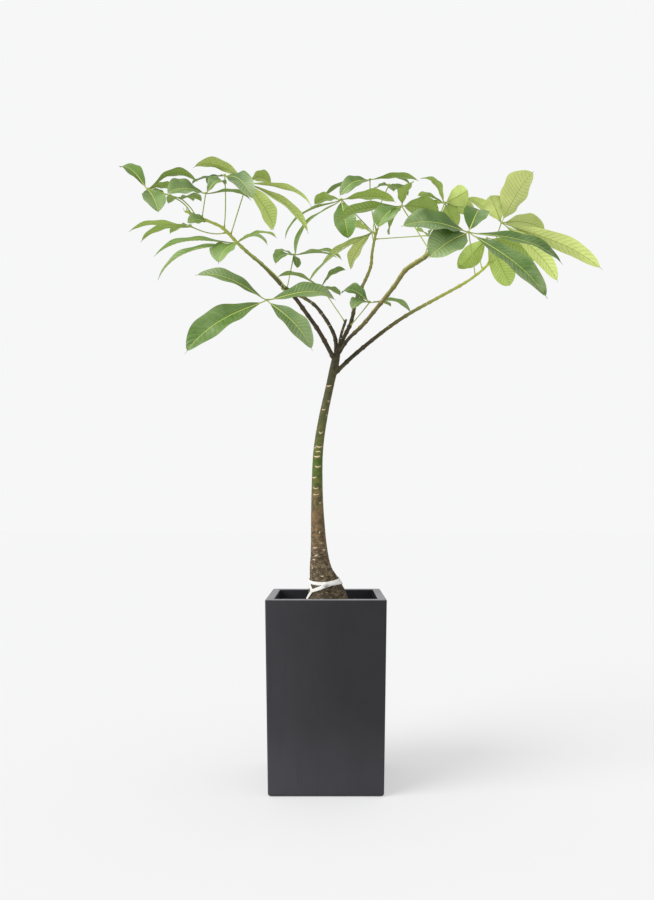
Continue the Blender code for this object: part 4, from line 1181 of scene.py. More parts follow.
def leaf_upper(settings):
    """A leaflet's upper face: green by its tone, with a pale midrib, and in places a painted sheen between its
    veins and towards its tip and margins.
    """
    material, tree, surface = new_material("leaf_upper", 0.36)
    along, across, lines, tone = blade_parts(tree, settings.vein_pairs, 0.34)
    place = place_flow(tree)
    patches = mottle(tree, place, 38.0, 0.5)
    tint = colour_run(tree, tone, (
        (0.0, colour(52, 92, 36)), (0.35, colour(86, 124, 40)), (0.7, colour(102, 142, 28)),
        (1.0, colour(148, 176, 56))))
    tint = blend(tree, patches * 0.35, tint, colour(120, 150, 66))
    tint = blend(tree, across.size().eased(0.55, 1.0) * 0.25, tint, colour(118, 146, 52))
    tint = blend(tree, along.eased(0.45, 0.0) * 0.42, tint, colour(52, 88, 30))
    # A patchy mask for the painted sheen, which lies pale between the veins and towards the tip and margins.
    wear_and_sheen = mottle(tree, place + PAINTED_SHEEN_SHIFT, 7.0, 0.16)
    # Painted sheen on the swellings between the veins.
    tint = blend(tree, lines["Quilts"] * (wear_and_sheen * 0.28 + 0.06), tint, colour(156, 182, 116))
    painted_sheen = wear_and_sheen * (along.eased(0.25, 0.95) * 0.75 + 0.15) + across.size().eased(0.6, 1.0) * wear_and_sheen * 0.3
    tint = blend(tree, painted_sheen * 0.50, tint, colour(180, 198, 146))
    tint = blend(tree, lines["Side veins"] * 0.26, tint, colour(150, 178, 92))
    tint = blend(tree, lines["Midrib"] * 0.92, tint, colour(212, 222, 104))
    tint = dried_tip(tree, tint, along, patches)
    tint.to(surface, "Base Color")
    rough = patches * 0.10 + lines["Midrib"] * 0.12 + settings.roughness
    rough.to(surface, "Roughness")
    fine = noise_flow(tree, place, 420.0, 3.0)
    relief = fine * 0.3 + lines["Quilts"] * 0.9 - lines["Side veins"] * 0.6 - lines["Midrib"]
    bump(tree, surface, relief, 0.0006, 0.8)
    return material


def leaf_under(settings):
    """A leaflet's under face: duller and paler than the upper one, with its veins standing out; its palest
    tones partly paint light shining through the blade.
    """
    material, tree, surface = new_material("leaf_under", 0.55)
    along, _, lines, tone = blade_parts(tree, settings.vein_pairs, 0.32)
    place = place_flow(tree)
    patches = mottle(tree, place, 30.0, 0.5)
    # Its paler tones are partly the leaf's own colour and partly painted light shining through the blade.
    tint = colour_run(tree, tone, (
        (0.0, colour(84, 116, 46)), (0.3, colour(116, 148, 54)), (0.6, colour(160, 188, 74)),
        (1.0, colour(220, 230, 138))))
    tint = blend(tree, patches * 0.30, tint, colour(122, 154, 54))
    tint = blend(tree, along.eased(0.35, 0.0) * 0.35, tint, colour(128, 150, 58))
    tint = blend(tree, lines["Quilts"] * 0.20, tint, colour(214, 222, 152))
    tint = blend(tree, lines["Side veins"] * 0.30, tint, colour(112, 138, 52))
    tint = blend(tree, lines["Midrib"] * 0.90, tint, colour(150, 166, 76))
    tint = dried_tip(tree, tint, along, patches)
    tint.to(surface, "Base Color")
    fine = noise_flow(tree, place, 420.0, 3.0)
    bump(tree, surface, fine * 0.3 + lines["Side veins"] * 0.8 + lines["Midrib"], 0.0005, 0.8)
    return material


def petiole_skin(name):
    """The yellow-green skin of leaf stalks and young shoots."""
    material, tree, surface = new_material(name, 0.5)
    place = place_flow(tree)
    patches = mottle(tree, place, 60.0, 0.4)
    tint = blend(tree, patches, colour(176, 190, 84), colour(140, 160, 66))
    tint.to(surface, "Base Color")
    bump(tree, surface, noise_flow(tree, place, 500.0, 3.0), 0.0002)
    return material


# Pieces

def show(item, slot, *nodes):
    """Puts a finished piece on the body, in place of the nodes that it stands for."""
    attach(item, BODY)
    if nodes:
        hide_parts(*nodes)


def raise_lines(name, points, edges, radii, sides, material):
    """Makes tubes along the lines gathered."""
    item = new_object(name, points, [], edges)
    set_attribute(item.data, "radius", "FLOAT", radii)
    grow(item, shared("Raised lines", tube_tree), {"Sides": sides, "Material": material})
    return item


def planter_rings(edge, steps):
    """Rings up the planter's outside, over its rim and down its hollow to the floor."""
    rim = POT_HEIGHT - edge
    half = pot_half_width(rim)
    rounding = [math.radians(90 * step / ROUNDING_STEPS) for step in range(ROUNDING_STEPS + 1)]
    rings = []
    for turn in rounding:
        height = FOOT_EDGE * (1 - math.cos(turn))
        foot_half = pot_half_width(height) - FOOT_EDGE * (1 - math.sin(turn))
        rings.append(square_ring(foot_half, POT_CORNER, height, steps))
    for turn in rounding:
        outer_half = half - edge * (1 - math.cos(turn))
        rings.append(square_ring(outer_half, POT_CORNER, rim + edge * math.sin(turn), steps))
    inside = half - POT_WALL
    for turn in reversed(rounding):
        inner_half = inside + edge * (1 - math.cos(turn))
        rings.append(square_ring(inner_half, INNER_CORNER, rim + edge * math.sin(turn), steps))
    rings.append(square_ring(pot_half_width(POT_FLOOR) - POT_WALL, INNER_CORNER, POT_FLOOR, steps))
    return rings


def build_planter(settings, material):
    """The planter, with four drain holes drilled through its floor."""
    rings = planter_rings(settings.edge_radius, settings.corner_steps)
    planter = new_object("planter", *skin(rings), material=material)
    drills = []
    turns = [math.tau * side / DRILL_SIDES for side in range(DRILL_SIDES)]
    for across, back in ((1, 1), (-1, 1), (-1, -1), (1, -1)):
        middle = Vector((across * DRAIN_OFFSET, back * DRAIN_OFFSET, 0))
        drill_rings = [
            [middle + Vector((DRAIN_RADIUS * math.cos(turn), DRAIN_RADIUS * math.sin(turn), height))
             for turn in turns] for height in (-POT_FLOOR / 2, POT_FLOOR * 1.5)]
        drill = new_object("drill", *skin(drill_rings))
        cut = planter.modifiers.new("Drain hole", "BOOLEAN")
        cut.operation = "DIFFERENCE"
        cut.object = drill
        cut.solver = "EXACT"
        drills.append(drill)
    shade_smooth(planter.data)
    even = planter.modifiers.new("Even shading", "WEIGHTED_NORMAL")
    even.keep_sharp = True
    settle(planter)
    for drill in drills:
        bpy.data.objects.remove(drill, do_unlink=True)
    planter.data.materials.clear()
    planter.data.materials.append(material)
    show(planter, "fibre_clay", "pot")


def build_soil(settings, material, white):
    """The bed of soil, which rises a little towards the stem, with crumbs and white grains lying on it."""
    top = POT_HEIGHT - SOIL_BELOW_RIM
    low = POT_FLOOR + FIT_GAP
    hole = STUMP_RADIUS - STUMP_LAP
    half_low = pot_half_width(low) - POT_WALL - FIT_GAP
    half_top = pot_half_width(top) - POT_WALL - FIT_GAP
    rings = [square_ring(half_low, INNER_CORNER, low, SOIL_STEPS)]
    for station in range(SOIL_STATIONS + 1):
        share = station / SOIL_STATIONS
        height = top - SOIL_SWELL * (1 - share) ** 2
        ring = square_ring(half_top, INNER_CORNER, height, SOIL_STEPS, share, hole)
        for point in ring:
            lumps = noise.fractal(point * LUMP_SCALE, 1.0, 2.0, 4) * settings.unevenness
            point.z += lumps * ramp(share, 0.0, 0.08) - SOIL_SINK
        rings.append(ring)
    bottom = top - STUMP_DEPTH - SOIL_SINK
    rings.append(square_ring(half_top, INNER_CORNER, bottom, SOIL_STEPS, 1.0, hole))
    bed = new_object("soil_bed", *skin(rings), material=material)
    shade_smooth(bed.data)
    show(bed, "soil", "soil")
    tree = shared("Soil crumbs", crumb_tree)
    grain_density = settings.crumb_density * GRAINS_TO_A_CRUMB
    for name, density, (smallest, largest), seed, finish in (
            ("soil_crumbs", settings.crumb_density, CRUMB_SIZES, 3, material),
            ("perlite_grains", grain_density, GRAIN_SIZES, 8, white)):
        crumbs = bpy.data.objects.new(name, bed.data.copy())
        bpy.context.scene.collection.objects.link(crumbs)
        grow(crumbs, tree, {"Density": density, "Smallest": smallest, "Largest": largest, "Seed": seed,
                            "Lowest": top - STUMP_DEPTH / 2, "Material": finish})
        show(crumbs, "soil")


def branch_stations(name):
    """Places, radii and shares along a branch, whose old leaf joints swell and lie closer near its tip."""
    rows, length = smooth_path(BRANCHES[name][0])
    chance = random.Random(name)
    joints = []
    at = FIRST_JOINT
    while at < length - LAST_JOINT:
        joints.append((at, chance.uniform(*JOINT_SWELL)))
        at += chance.uniform(*JOINT_GAP) * (1.3 - 0.6 * at / length)
    count = round(length / BRANCH_STATION)
    places, radii, shares = [], [], []
    for index in range(count + 1):
        reach = length * index / count
        swell = sum(size * math.exp(-((reach - joint) / JOINT_LENGTH) ** 2) for joint, size in joints)
        places.append(path_point(rows, reach))
        radii.append(branch_radius(name, reach / length) * (BARK_SHARE + swell))
        shares.append(reach / length)
    ahead = path_direction(rows, length * NEAR_TIP)
    tip_radius = BRANCHES[name][2]
    for past, wide in TIP_ROUNDING:
        places.append(path_point(rows, length) + ahead * tip_radius * past)
        radii.append(tip_radius * wide)
        shares.append(1.0)
    return places, radii, shares


def ball_rings(middle, radius):
    rings = []
    for row in range(1, BALL_ROWS):
        turn = math.pi * row / BALL_ROWS
        rings.append([middle + radius * Vector((math.sin(turn) * math.cos(math.tau * side / BALL_SIDES),
                                                math.sin(turn) * math.sin(math.tau * side / BALL_SIDES),
                                                -math.cos(turn)))
                      for side in range(BALL_SIDES)])
    return rings


def scar_mark(place):
    """How much of a leaf scar's tan surround lies at a place on the stem, from 0 to 1."""
    mark = 0.0
    for height, middle, spread, sag, rise, bold in SCARS_SEEN + SCARS_BEHIND:
        if abs(place.z - height) > SCAR_REACH:
            continue
        across, back, _ = smooth_row(STEM, place.z)
        turn = math.degrees(math.atan2(place.y - back, place.x - across))
        at = ((turn - middle + 180) % 360 - 180) / spread
        level = height - (sag + SCAR_SAG) * (1 - at * at) + rise * at / 2 - SCAR_HALO * 0.3
        near = math.exp(-((place.z - level) / SCAR_HALO) ** 2) * (1 - ramp(abs(at), 0.8, 1.25))
        mark = max(mark, near * bold)
    return min(mark, 1.0)


def stem_parts():
    """Points and faces of the stem, branches, knots and cushions, each closed on its own.

    Besides them, samples along the middles of the stem and its branches: place, how green, how woody.
    """
    points, faces = [], []
    foot, top = STEM[0][0], STEM[-1][0]
    heights = [foot + (top - foot) * step / STEM_RINGS for step in range(STEM_RINGS + 1)]
    heights.insert(0, foot - STUMP_DEPTH)
    turns = [math.tau * side / STEM_RING_SIDES for side in range(STEM_RING_SIDES)]
    add_skin(points, faces, [[stem_point(height, turn) for turn in turns] for height in heights])
    samples = [(Vector((*smooth_row(STEM, height)[:2], height)), 0.0, 0.0) for height in heights]
    for name in BRANCHES:
        places, radii, shares = branch_stations(name)
        add_skin(points, faces, tube_rings(places, radii, BRANCH_RING_SIDES))
        late, greenest = RIPENS[name]
        samples += [(place, greenest * share**late, WOODY[name]) for place, share in zip(places, shares)]
    for branch, share, radius in KNOTS:
        rows, length = smooth_path(BRANCHES[branch][0])
        add_skin(points, faces, ball_rings(path_point(rows, share * length), radius))
    cushion_radii = [CUSHION_RADIUS * share for share in CUSHION_SHARES]
    for leaf in LEAVES.values():
        middle, outward, reach = leaf_root(leaf)
        end = middle + outward * reach
        places = [middle, end - outward * CUSHION_SHOULDER, end]
        add_skin(points, faces, tube_rings(places, cushion_radii, CUSHION_SIDES))
    return points, faces, samples


def weather(mesh, samples, relief):
    """Presses the bark's relief into a skin, and notes what its colours need at each of its points."""
    tree = KDTree(len(samples))
    for index, (place, _, _) in enumerate(samples):
        tree.insert(place, index)
    tree.balance()
    shoots, woody, marks, painted_top_light = (np.zeros(len(mesh.vertices), np.float32) for _ in range(4))
    moved = []
    for vertex in mesh.vertices:
        place = vertex.co
        _, shoots[vertex.index], woody[vertex.index] = samples[tree.find(place)[1]]
        # How far each point faces up, by which the bark paints light on the tops of woody branches and shade
        # under them.
        painted_top_light[vertex.index] = vertex.normal.z
        if shoots[vertex.index] == 0:
            marks[vertex.index] = scar_mark(place)
        coarse = 1 - ramp(place.z, *COARSE_BARK_ENDS)
        flat_place = Vector((place.x, place.y, place.z * 0.8))
        tall_place = Vector((place.x, place.y, place.z * 1.6))
        knobs = noise.fractal(flat_place * BARK_KNOB_SCALE, 0.9, 2.1, 4)
        grain = noise.fractal(tall_place * BARK_GRAIN_SCALE, 0.8, 2.0, 3)
        depth = relief * (FINE_BARK_SHARE + (1 - FINE_BARK_SHARE) * coarse)
        depth *= 1 - ramp(shoots[vertex.index], 0.0, 0.3) * 0.7
        moved.append(place - vertex.normal * depth * (0.5 + 0.35 * knobs + 0.35 * grain))
    mesh.vertices.foreach_set("co", np.array(moved, np.float32).ravel())
    set_attribute(mesh, "shoot", "FLOAT", shoots)
    set_attribute(mesh, "woody", "FLOAT", woody)
    set_attribute(mesh, "painted_top_light", "FLOAT", painted_top_light)
    set_attribute(mesh, "scar", "FLOAT", marks)


def build_stem(settings, material):
    """Stem, branches and leaf cushions grown into one skin, with rough bark at the foot."""
    points, faces, samples = stem_parts()
    stem = new_object("stem_and_branches", points, faces, material=material)
    remesh = stem.modifiers.new("One skin", "REMESH")
    remesh.mode = "VOXEL"
    remesh.voxel_size = settings.voxel
    smooth = stem.modifiers.new("Soft joints", "SMOOTH")
    smooth.factor = 0.5
    smooth.iterations = 3
    settle(stem)
    mesh = stem.data
    weather(mesh, samples, settings.relief)
    shade_smooth(mesh)
    mesh.materials.clear()
    mesh.materials.append(material)
    mesh.update()
    show(stem, "bark", "stem")


def build_scars(settings, material):
    """The pale rings that fallen leaves left on the stem and its branches."""
    points, edges, radii = [], [], []
    for height, turn, spread, sag, rise, bold in SCARS_SEEN + SCARS_BEHIND:
        places, widths = [], []
        for step in range(SCAR_STEPS + 1):
            at = step / SCAR_STEPS * 2 - 1
            level = height - (sag + SCAR_SAG) * (1 - at * at) + rise * at / 2
            ragged = 0.8 + 0.5 * noise.noise(Vector((turn + at * 3, height * 90, 0.0)))
            places.append(stem_point(level, math.radians(turn + spread * at), -SCAR_SINK))
            widths.append(settings.scar_thickness * bold * ragged * (1 - at * at) ** 0.8 + 0.0002)
        add_line(points, edges, radii, places, widths)
    for name in BRANCHES:
        rows, length = smooth_path(BRANCHES[name][0])
        chance = random.Random(name + " scars")
        at = FIRST_BRANCH_SCAR * length
        while at < length - LAST_BRANCH_SCAR:
            middle, along = path_point(rows, at), path_direction(rows, at)
            across = along.orthogonal().normalized()
            over = along.cross(across)
            start = chance.uniform(0, math.tau)
            span = chance.uniform(0.5, 0.9) * math.pi
            reach = branch_radius(name, at / length) * 1.02
            places, widths = [], []
            for step in range(BRANCH_SCAR_STEPS + 1):
                turn = start + span * step / BRANCH_SCAR_STEPS
                places.append(middle + reach * (across * math.cos(turn) + over * math.sin(turn)))
                widths.append(BRANCH_SCAR_RADIUS * (1 - (step * 2 / BRANCH_SCAR_STEPS - 1) ** 4) + 0.0001)
            add_line(points, edges, radii, places, widths)
            at += chance.uniform(*BRANCH_SCAR_GAP)
    show(raise_lines("leaf_scars", points, edges, radii, 6, material), "bark")


def build_shoots(material):
    """The slim pointed shoots that stand round each branch tip, tallest on the east branch."""
    points, edges, radii = [], [], []
    shares = [step / SHOOT_STEPS for step in range(SHOOT_STEPS + 1)]
    widths = [SHOOT_RADIUS * (1 - share) ** 0.7 + SHOOT_POINT_RADIUS for share in shares]
    for name, (count, length) in SHOOTS.items():
        rows, whole = smooth_path(BRANCHES[name][0])
        tip, ahead = path_point(rows, whole), path_direction(rows, whole * NEAR_TIP)
        across = ahead.orthogonal().normalized()
        over = ahead.cross(across)
        chance = random.Random(name + " shoots")
        for number in range(count):
            turn = math.tau * (number + chance.uniform(-0.2, 0.2)) / count
            outward = across * math.cos(turn) + over * math.sin(turn)
            own = length * chance.uniform(0.55, 1.0)
            root = tip + outward * branch_radius(name, 1.0) * 0.5
            bend = root + (ahead + outward * 0.7) * own * 0.5
            end = root + (ahead * 0.5 + outward * 0.4 + Vector((0, 0, 0.9))).normalized() * own
            places = [curve_point(root, bend, end, share) for share in shares]
            add_line(points, edges, radii, places, widths)
    show(raise_lines("young_shoots", points, edges, radii, 7, material), "leaf_green")


def tape_rings(route, lift, closed):
    """Rings of tape laid along a route of turns and heights on the stem.

    Besides them, how far along and across the tape each of their points lies.
    """
    rings, runs = [], []
    count = len(route)
    length = 0.0
    for index, (turn, height) in enumerate(route):
        before = route[index - 1] if closed or index else route[index]
        after = route[(index + 1) % count] if closed or index + 1 < count else route[index]
        radius = smooth_row(STEM, height)[2]
        sideways = (after[0] - before[0] + math.pi) % math.tau - math.pi
        along = Vector((sideways * radius, after[1] - before[1])).normalized()
        if index:
            step_turn = turn - route[index - 1][0]
            length += math.hypot(step_turn * radius, height - route[index - 1][1])
        outer, inner, run = [], [], []
        pinch = 1 - TAPE_PINCH * noise.noise(Vector((length * 60, lift * 900, 0)))
        for column in range(TAPE_COLUMNS):
            at = column / (TAPE_COLUMNS - 1) * 2 - 1
            level = at * TAPE_WIDTH / 2 * pinch
            spot = (height + along.x * level, turn - along.y * level / radius)
            thick = TAPE_THICKNESS * (1 - EDGE_THINNING * at**6)
            ripple = TAPE_RIPPLE * noise.noise(Vector((length * 170, at * 2.2, lift * 700)))
            inner.append(stem_point(*spot, TAPE_CLEARANCE + lift))
            outer.append(stem_point(*spot, TAPE_CLEARANCE + lift + thick + ripple))
            run.append((length, level, 0.0))
        rings.append(outer + inner[::-1])
        runs.append(run + run[::-1])
    return rings, runs


def tape_route(places):
    """A smooth route through chosen turns and heights, in radians and metres."""
    lengths = [0.0]
    for before, after in zip(places, places[1:]):
        sideways = math.radians(after[0] - before[0]) * smooth_row(STEM, after[1])[2]
        lengths.append(lengths[-1] + math.hypot(sideways, after[1] - before[1]))
    rows = [(length, math.radians(turn), height) for length, (turn, height) in zip(lengths, places)]
    count = math.ceil(lengths[-1] / (math.radians(TAPE_STEP) * smooth_row(STEM, places[0][1])[2]))
    return [tuple(smooth_row(rows, lengths[-1] * index / count)) for index in range(count + 1)]


def build_tie(material):
    """Tape wound round the foot of the stem and knotted in front."""
    middle, dip, rise = UPPER_TURN
    turns = [math.radians(TAPE_STEP * index) for index in range(round(360 / TAPE_STEP))]
    upper = [(turn, middle - dip * math.cos(turn - FRONT) + rise * math.cos(turn)) for turn in turns]
    points, faces, runs = [], [], []
    for route, lift, closed in (
            (upper, 0.0, True), (tape_route(LOWER_TURN), TAPE_THICKNESS * LOWER_TURN_LIFT, False),
            (tape_route(LOOSE_END), TAPE_THICKNESS * LOOSE_END_LIFT, False)):
        rings, ring_runs = tape_rings(route, lift, closed)
        add_skin(points, faces, rings, closed)
        runs += [run for ring in ring_runs for run in ring]
    place = stem_point(KNOT_HEIGHT, FRONT, TAPE_CLEARANCE + KNOT_SIZE[1] / 2)
    knot_rings = ball_rings(Vector((0, 0, 0)), 0.5)
    for ring in knot_rings:
        for point in ring:
            folds = KNOT_FOLDS * math.sin(point.x * 15 + point.z * 9)
            swell = 1 + folds + KNOT_LUMPS * noise.noise(point * 7)
            size = Vector([part * whole for part, whole in zip(point, KNOT_SIZE)]) * swell
            runs.append((size.x + size.z * 0.5, size.z - size.x * 0.5, 0.0))
            point[:] = place + size
    add_skin(points, faces, knot_rings)
    tie = new_object("stem_tie", points, faces, material=material)
    set_attribute(tie.data, "strip", "FLOAT_VECTOR", np.array(runs, np.float32))
    shade_smooth(tie.data)
    show(tie, "tape", "tie")


def leaflet_frame(up, leaflet):
    """A leaflet's reach and the ways its right edge and its upper face look."""
    across, rise, toward = (value * CENTIMETRE for value in leaflet[:3])
    reach = Vector((across, -toward, rise))
    side = reach.cross(up).normalized()
    over = side.cross(reach).normalized()
    aside = -side if side.y > 0 else side
    shown = math.radians(leaflet[5])
    over = over * math.cos(shown) + aside * math.sin(shown)
    return reach, reach.cross(over).normalized(), over


# What each leaflet's point tells the leaf's tree, and what is taken off the mesh once the leaf has grown
LEAFLET_VALUES = (("hub", "FLOAT_VECTOR"), ("reach", "FLOAT_VECTOR"), ("side", "FLOAT_VECTOR"),
                  ("over", "FLOAT_VECTOR"), ("width", "FLOAT"), ("arch", "FLOAT"), ("bow", "FLOAT"),
                  ("twist", "FLOAT"), ("wave", "FLOAT"), ("tone", "FLOAT"))
WORKING_VALUES = ("hub", "reach", "side", "over", "width", "arch", "bow", "twist", "wave", "row", "column",
                  "radius", "leaflet", "part")


def petiole_line(leaf):
    """A leaf's stalk, from its cushion to the swelling where its leaflets meet: places and radii."""
    hub = Vector(leaf[2])
    middle, outward, reach = leaf_root(leaf)
    start = middle + outward * (reach - PETIOLE_SINK)
    foot = start + outward * PETIOLE_FOOT_LENGTH
    bend = start + outward * (hub - start).length * PETIOLE_PULL
    path = [start, start + outward * PETIOLE_FOOT_LENGTH * 0.5, foot]
    radii = [PETIOLE_FOOT_RADIUS, PETIOLE_FOOT_RADIUS * 1.02, PETIOLE_FOOT_RADIUS * 0.8]
    for step in range(1, PETIOLE_STATIONS):
        share = step / PETIOLE_STATIONS
        path.append(curve_point(foot, bend, hub, share))
        radii.append(PETIOLE_RADIUS * (1 + 0.25 * share**6))
    ahead = (hub - path[-1]).normalized()
    for past, wide in HUB_SWELLING:
        path.append(hub + ahead * past)
        radii.append(wide)
    return path, radii


def build_leaf(name, leaf, settings, tree, finishes):
    """One compound leaf, from its cushion on the branch to its drip tips."""
    _, _, hub, up, tone, leaflets = leaf
    hub = Vector(hub)
    chance = random.Random(name)
    rows = []
    for leaflet in leaflets:
        reach, side, over = leaflet_frame(Vector(up), leaflet)
        bow = chance.uniform(-1, 1) * settings.bow * reach.length
        twist = chance.uniform(-1, 1) * settings.twist
        own_tone = min(max(tone + chance.uniform(-0.10, 0.10), 0.0), 1.0)
        rows.append((hub, reach, side, over, leaflet[3] * CENTIMETRE, leaflet[4] * CENTIMETRE, bow, twist,
                     chance.uniform(0, math.tau), own_tone))
    path, radii = petiole_line(leaf)
    count = len(rows)
    points = [hub] * count + path
    edges = [(count + step, count + step + 1) for step in range(len(path) - 1)]
    item = new_object(name, points, [], edges)
    mesh = item.data
    for column, (label, kind) in enumerate(LEAFLET_VALUES):
        blank = (0.0, 0.0, 0.0) if kind == "FLOAT_VECTOR" else 0.0
        values = [tuple(row[column]) if kind == "FLOAT_VECTOR" else row[column] for row in rows]
        set_attribute(mesh, label, kind, np.array(values + [blank] * len(path), np.float32))
    set_attribute(mesh, "radius", "FLOAT", [0.0] * count + radii)
    set_attribute(mesh, "leaflet", "BOOLEAN", [True] * count + [False] * len(path))
    grow(item, tree, {
        "Rows": settings.rows, "Columns": settings.columns, "Thickness": settings.thickness,
        "Margin wave": settings.margin_wave, "Vein pairs": settings.vein_pairs,
        "Vein height": settings.vein_height, "Upper face": finishes[0], "Under face": finishes[1],
        "Petiole": finishes[2]})
    for label in WORKING_VALUES:
        layer = item.data.attributes.get(label)
        if layer:
            item.data.attributes.remove(layer)
    return item


def build_floor(settings):
    """A wide pale floor. Part of its paleness is its own light, so that shadows on it stay faint."""
    corners = [(across * FLOOR_HALF, back * FLOOR_HALF, 0)
               for across, back in ((-1, -1), (1, -1), (1, 1), (-1, 1))]
    floor = new_object("floor", corners, [(0, 1, 2, 3)])
    material, tree, surface = new_material("floor_paint", 0.9)
    surface.inputs["Specular IOR Level"].default_value = 0.0
    grain = noise_flow(tree, place_flow(tree), 3.0, 2.0)
    shade = tuple(value * 0.99 for value in settings.floor_colour) + (1.0,)
    tint = blend(tree, grain, (*settings.floor_colour, 1.0), shade)
    tint.to(surface, "Base Color")
    surface.inputs["Emission Color"].default_value = (1.0, 1.0, 1.0, 1.0)
    surface.inputs["Emission Strength"].default_value = settings.floor_glow
    floor.data.materials.append(material)


def build_sky(scene, settings):
    """An even pale sky, which the camera sees paler than the light that it gives."""
    world = bpy.data.worlds.new("studio")
    world.use_nodes = True
    sky = world.node_tree
    seen = flow_from(sky, "ShaderNodeLightPath", output="Is Camera Ray")
    tint = blend(sky, seen, (*settings.fill_colour, 1.0), (*settings.sky_colour, 1.0))
    tint.to(sky.nodes["Background"], "Color")
    scene.world = world
    scene.view_settings.view_transform = "Standard"


def build_light(scene, settings):
    """A wide soft light from the left."""
    lamp = bpy.data.lights.new("soft_window", "SUN")
    lamp.energy = settings.light_strength
    lamp.angle = settings.light_angle
    lamp_item = bpy.data.objects.new("soft_window", lamp)
    lamp_item.rotation_euler = Vector(LIGHT_FROM).to_track_quat("Z", "Y").to_euler()
    scene.collection.objects.link(lamp_item)


def build_camera(scene):
    """The camera, level and square to the planter's front."""
    camera = bpy.data.cameras.new("camera")
    camera.lens = SENSOR * FOCAL_LENGTH_PIXELS / PICTURE_HEIGHT_PIXELS
    camera.sensor_width = SENSOR
    camera.shift_x = SHIFT_ACROSS_PIXELS / PICTURE_HEIGHT_PIXELS
    camera.shift_y = SHIFT_UP_PIXELS / PICTURE_HEIGHT_PIXELS
    camera_item = bpy.data.objects.new("camera", camera)
    camera_item.location = CAMERA_PLACE
    camera_item.rotation_euler = (math.pi / 2, 0, 0)
    scene.collection.objects.link(camera_item)
    scene.camera = camera_item


# Settings

class PlanterSettings(bpy.types.PropertyGroup):
    edge_radius: bpy.props.FloatProperty(
        name="Edge radius", description="Rounding of the rim", default=0.0025, min=0.0005, max=0.006,
        unit="LENGTH")
    corner_steps: bpy.props.IntProperty(
        name="Corner steps", description="Faces round each upright corner", default=9, min=3, max=24)
    colour: bpy.props.FloatVectorProperty(
        name="Colour", description="Colour of the fibre clay", default=(0.014, 0.014, 0.017), min=0, max=1,
        subtype="COLOR")
    roughness: bpy.props.FloatProperty(
        name="Roughness", description="How matt the clay is", default=0.34, min=0, max=1, subtype="FACTOR")


class SoilSettings(bpy.types.PropertyGroup):
    unevenness: bpy.props.FloatProperty(
        name="Unevenness", description="Height of the lumps", default=0.0035, min=0, max=0.02, unit="LENGTH")
    crumb_density: bpy.props.FloatProperty(
        name="Crumbs", description="Crumbs on each square metre", default=60000.0, min=0, max=200000)
    colour: bpy.props.FloatVectorProperty(
        name="Colour", description="Colour of damp soil", default=(0.030, 0.021, 0.015), min=0, max=1,
        subtype="COLOR")


class StemSettings(bpy.types.PropertyGroup):
    voxel: bpy.props.FloatProperty(
        name="Skin detail", description="Size of the faces of the bark", default=0.00175, min=0.0010,
        max=0.006, unit="LENGTH")
    relief: bpy.props.FloatProperty(
        name="Bark relief", description="Depth of the bark at the foot", default=0.0018, min=0, max=0.005,
        unit="LENGTH")
    scar_thickness: bpy.props.FloatProperty(
        name="Scar thickness", description="Half the height of a leaf scar", default=0.0017, min=0.0002,
        max=0.004, unit="LENGTH")
    roughness: bpy.props.FloatProperty(
        name="Roughness", description="How matt the bark is", default=0.52, min=0, max=1, subtype="FACTOR")


class TieSettings(bpy.types.PropertyGroup):
    colour: bpy.props.FloatVectorProperty(
        name="Colour", description="Colour of the tape", default=(0.93, 0.92, 0.88), min=0, max=1,
        subtype="COLOR")


class LeafSettings(bpy.types.PropertyGroup):
    rows: bpy.props.IntProperty(
        name="Rows", description="Points along a leaflet", default=60, min=8, max=200)
    columns: bpy.props.IntProperty(
        name="Columns", description="Points across a leaflet", default=15, min=5, max=41)
    thickness: bpy.props.FloatProperty(
        name="Thickness", description="Thickness of a blade", default=0.0005, min=0.0002, max=0.002,
        unit="LENGTH")
    margin_wave: bpy.props.FloatProperty(
        name="Margin wave", description="Height of the waves along the margin, as a share of the width",
        default=0.045, min=0, max=0.3)
    vein_pairs: bpy.props.FloatProperty(
        name="Vein pairs", description="Side veins on each half of a leaflet", default=17.0, min=2, max=40)
    vein_height: bpy.props.FloatProperty(
        name="Vein height", description="How far the blade swells between its veins", default=0.0007, min=0,
        max=0.003, unit="LENGTH")
    bow: bpy.props.FloatProperty(
        name="Bow", description="Sideways curve of a leaflet, as a share of its length", default=0.018,
        min=0, max=0.2)
    twist: bpy.props.FloatProperty(
        name="Twist", description="Turn of a leaflet from foot to tip", default=math.radians(7), min=0,
        max=1.5, subtype="ANGLE")
    roughness: bpy.props.FloatProperty(
        name="Roughness", description="How matt the upper faces are", default=0.34, min=0, max=1,
        subtype="FACTOR")


class StageSettings(bpy.types.PropertyGroup):
    floor_colour: bpy.props.FloatVectorProperty(
        name="Floor", description="Colour of the floor", default=(0.45, 0.45, 0.45), min=0, max=1,
        subtype="COLOR")
    floor_glow: bpy.props.FloatProperty(
        name="Floor glow", description="Strength of the floor's own light, which makes shadows fainter",
        default=0.45, min=0, max=1)
    sky_colour: bpy.props.FloatVectorProperty(
        name="Backdrop", description="Colour seen behind the plant", default=(0.93, 0.93, 0.935), min=0,
        max=1, subtype="COLOR")
    fill_colour: bpy.props.FloatVectorProperty(
        name="Fill light", description="Colour of the light from all round", default=(0.66, 0.66, 0.665),
        min=0, max=1, subtype="COLOR")
    light_strength: bpy.props.FloatProperty(
        name="Light", description="Strength of the main light", default=2.3, min=0, max=20)
    light_angle: bpy.props.FloatProperty(
        name="Light angle", description="How wide the main light is, as seen from the plant",
        default=math.radians(42), min=0, max=math.pi, subtype="ANGLE")


SETTINGS = {"planter": PlanterSettings, "soil": SoilSettings, "stem": StemSettings, "tie": TieSettings,
            "leaves": LeafSettings, "stage": StageSettings}


# Operators

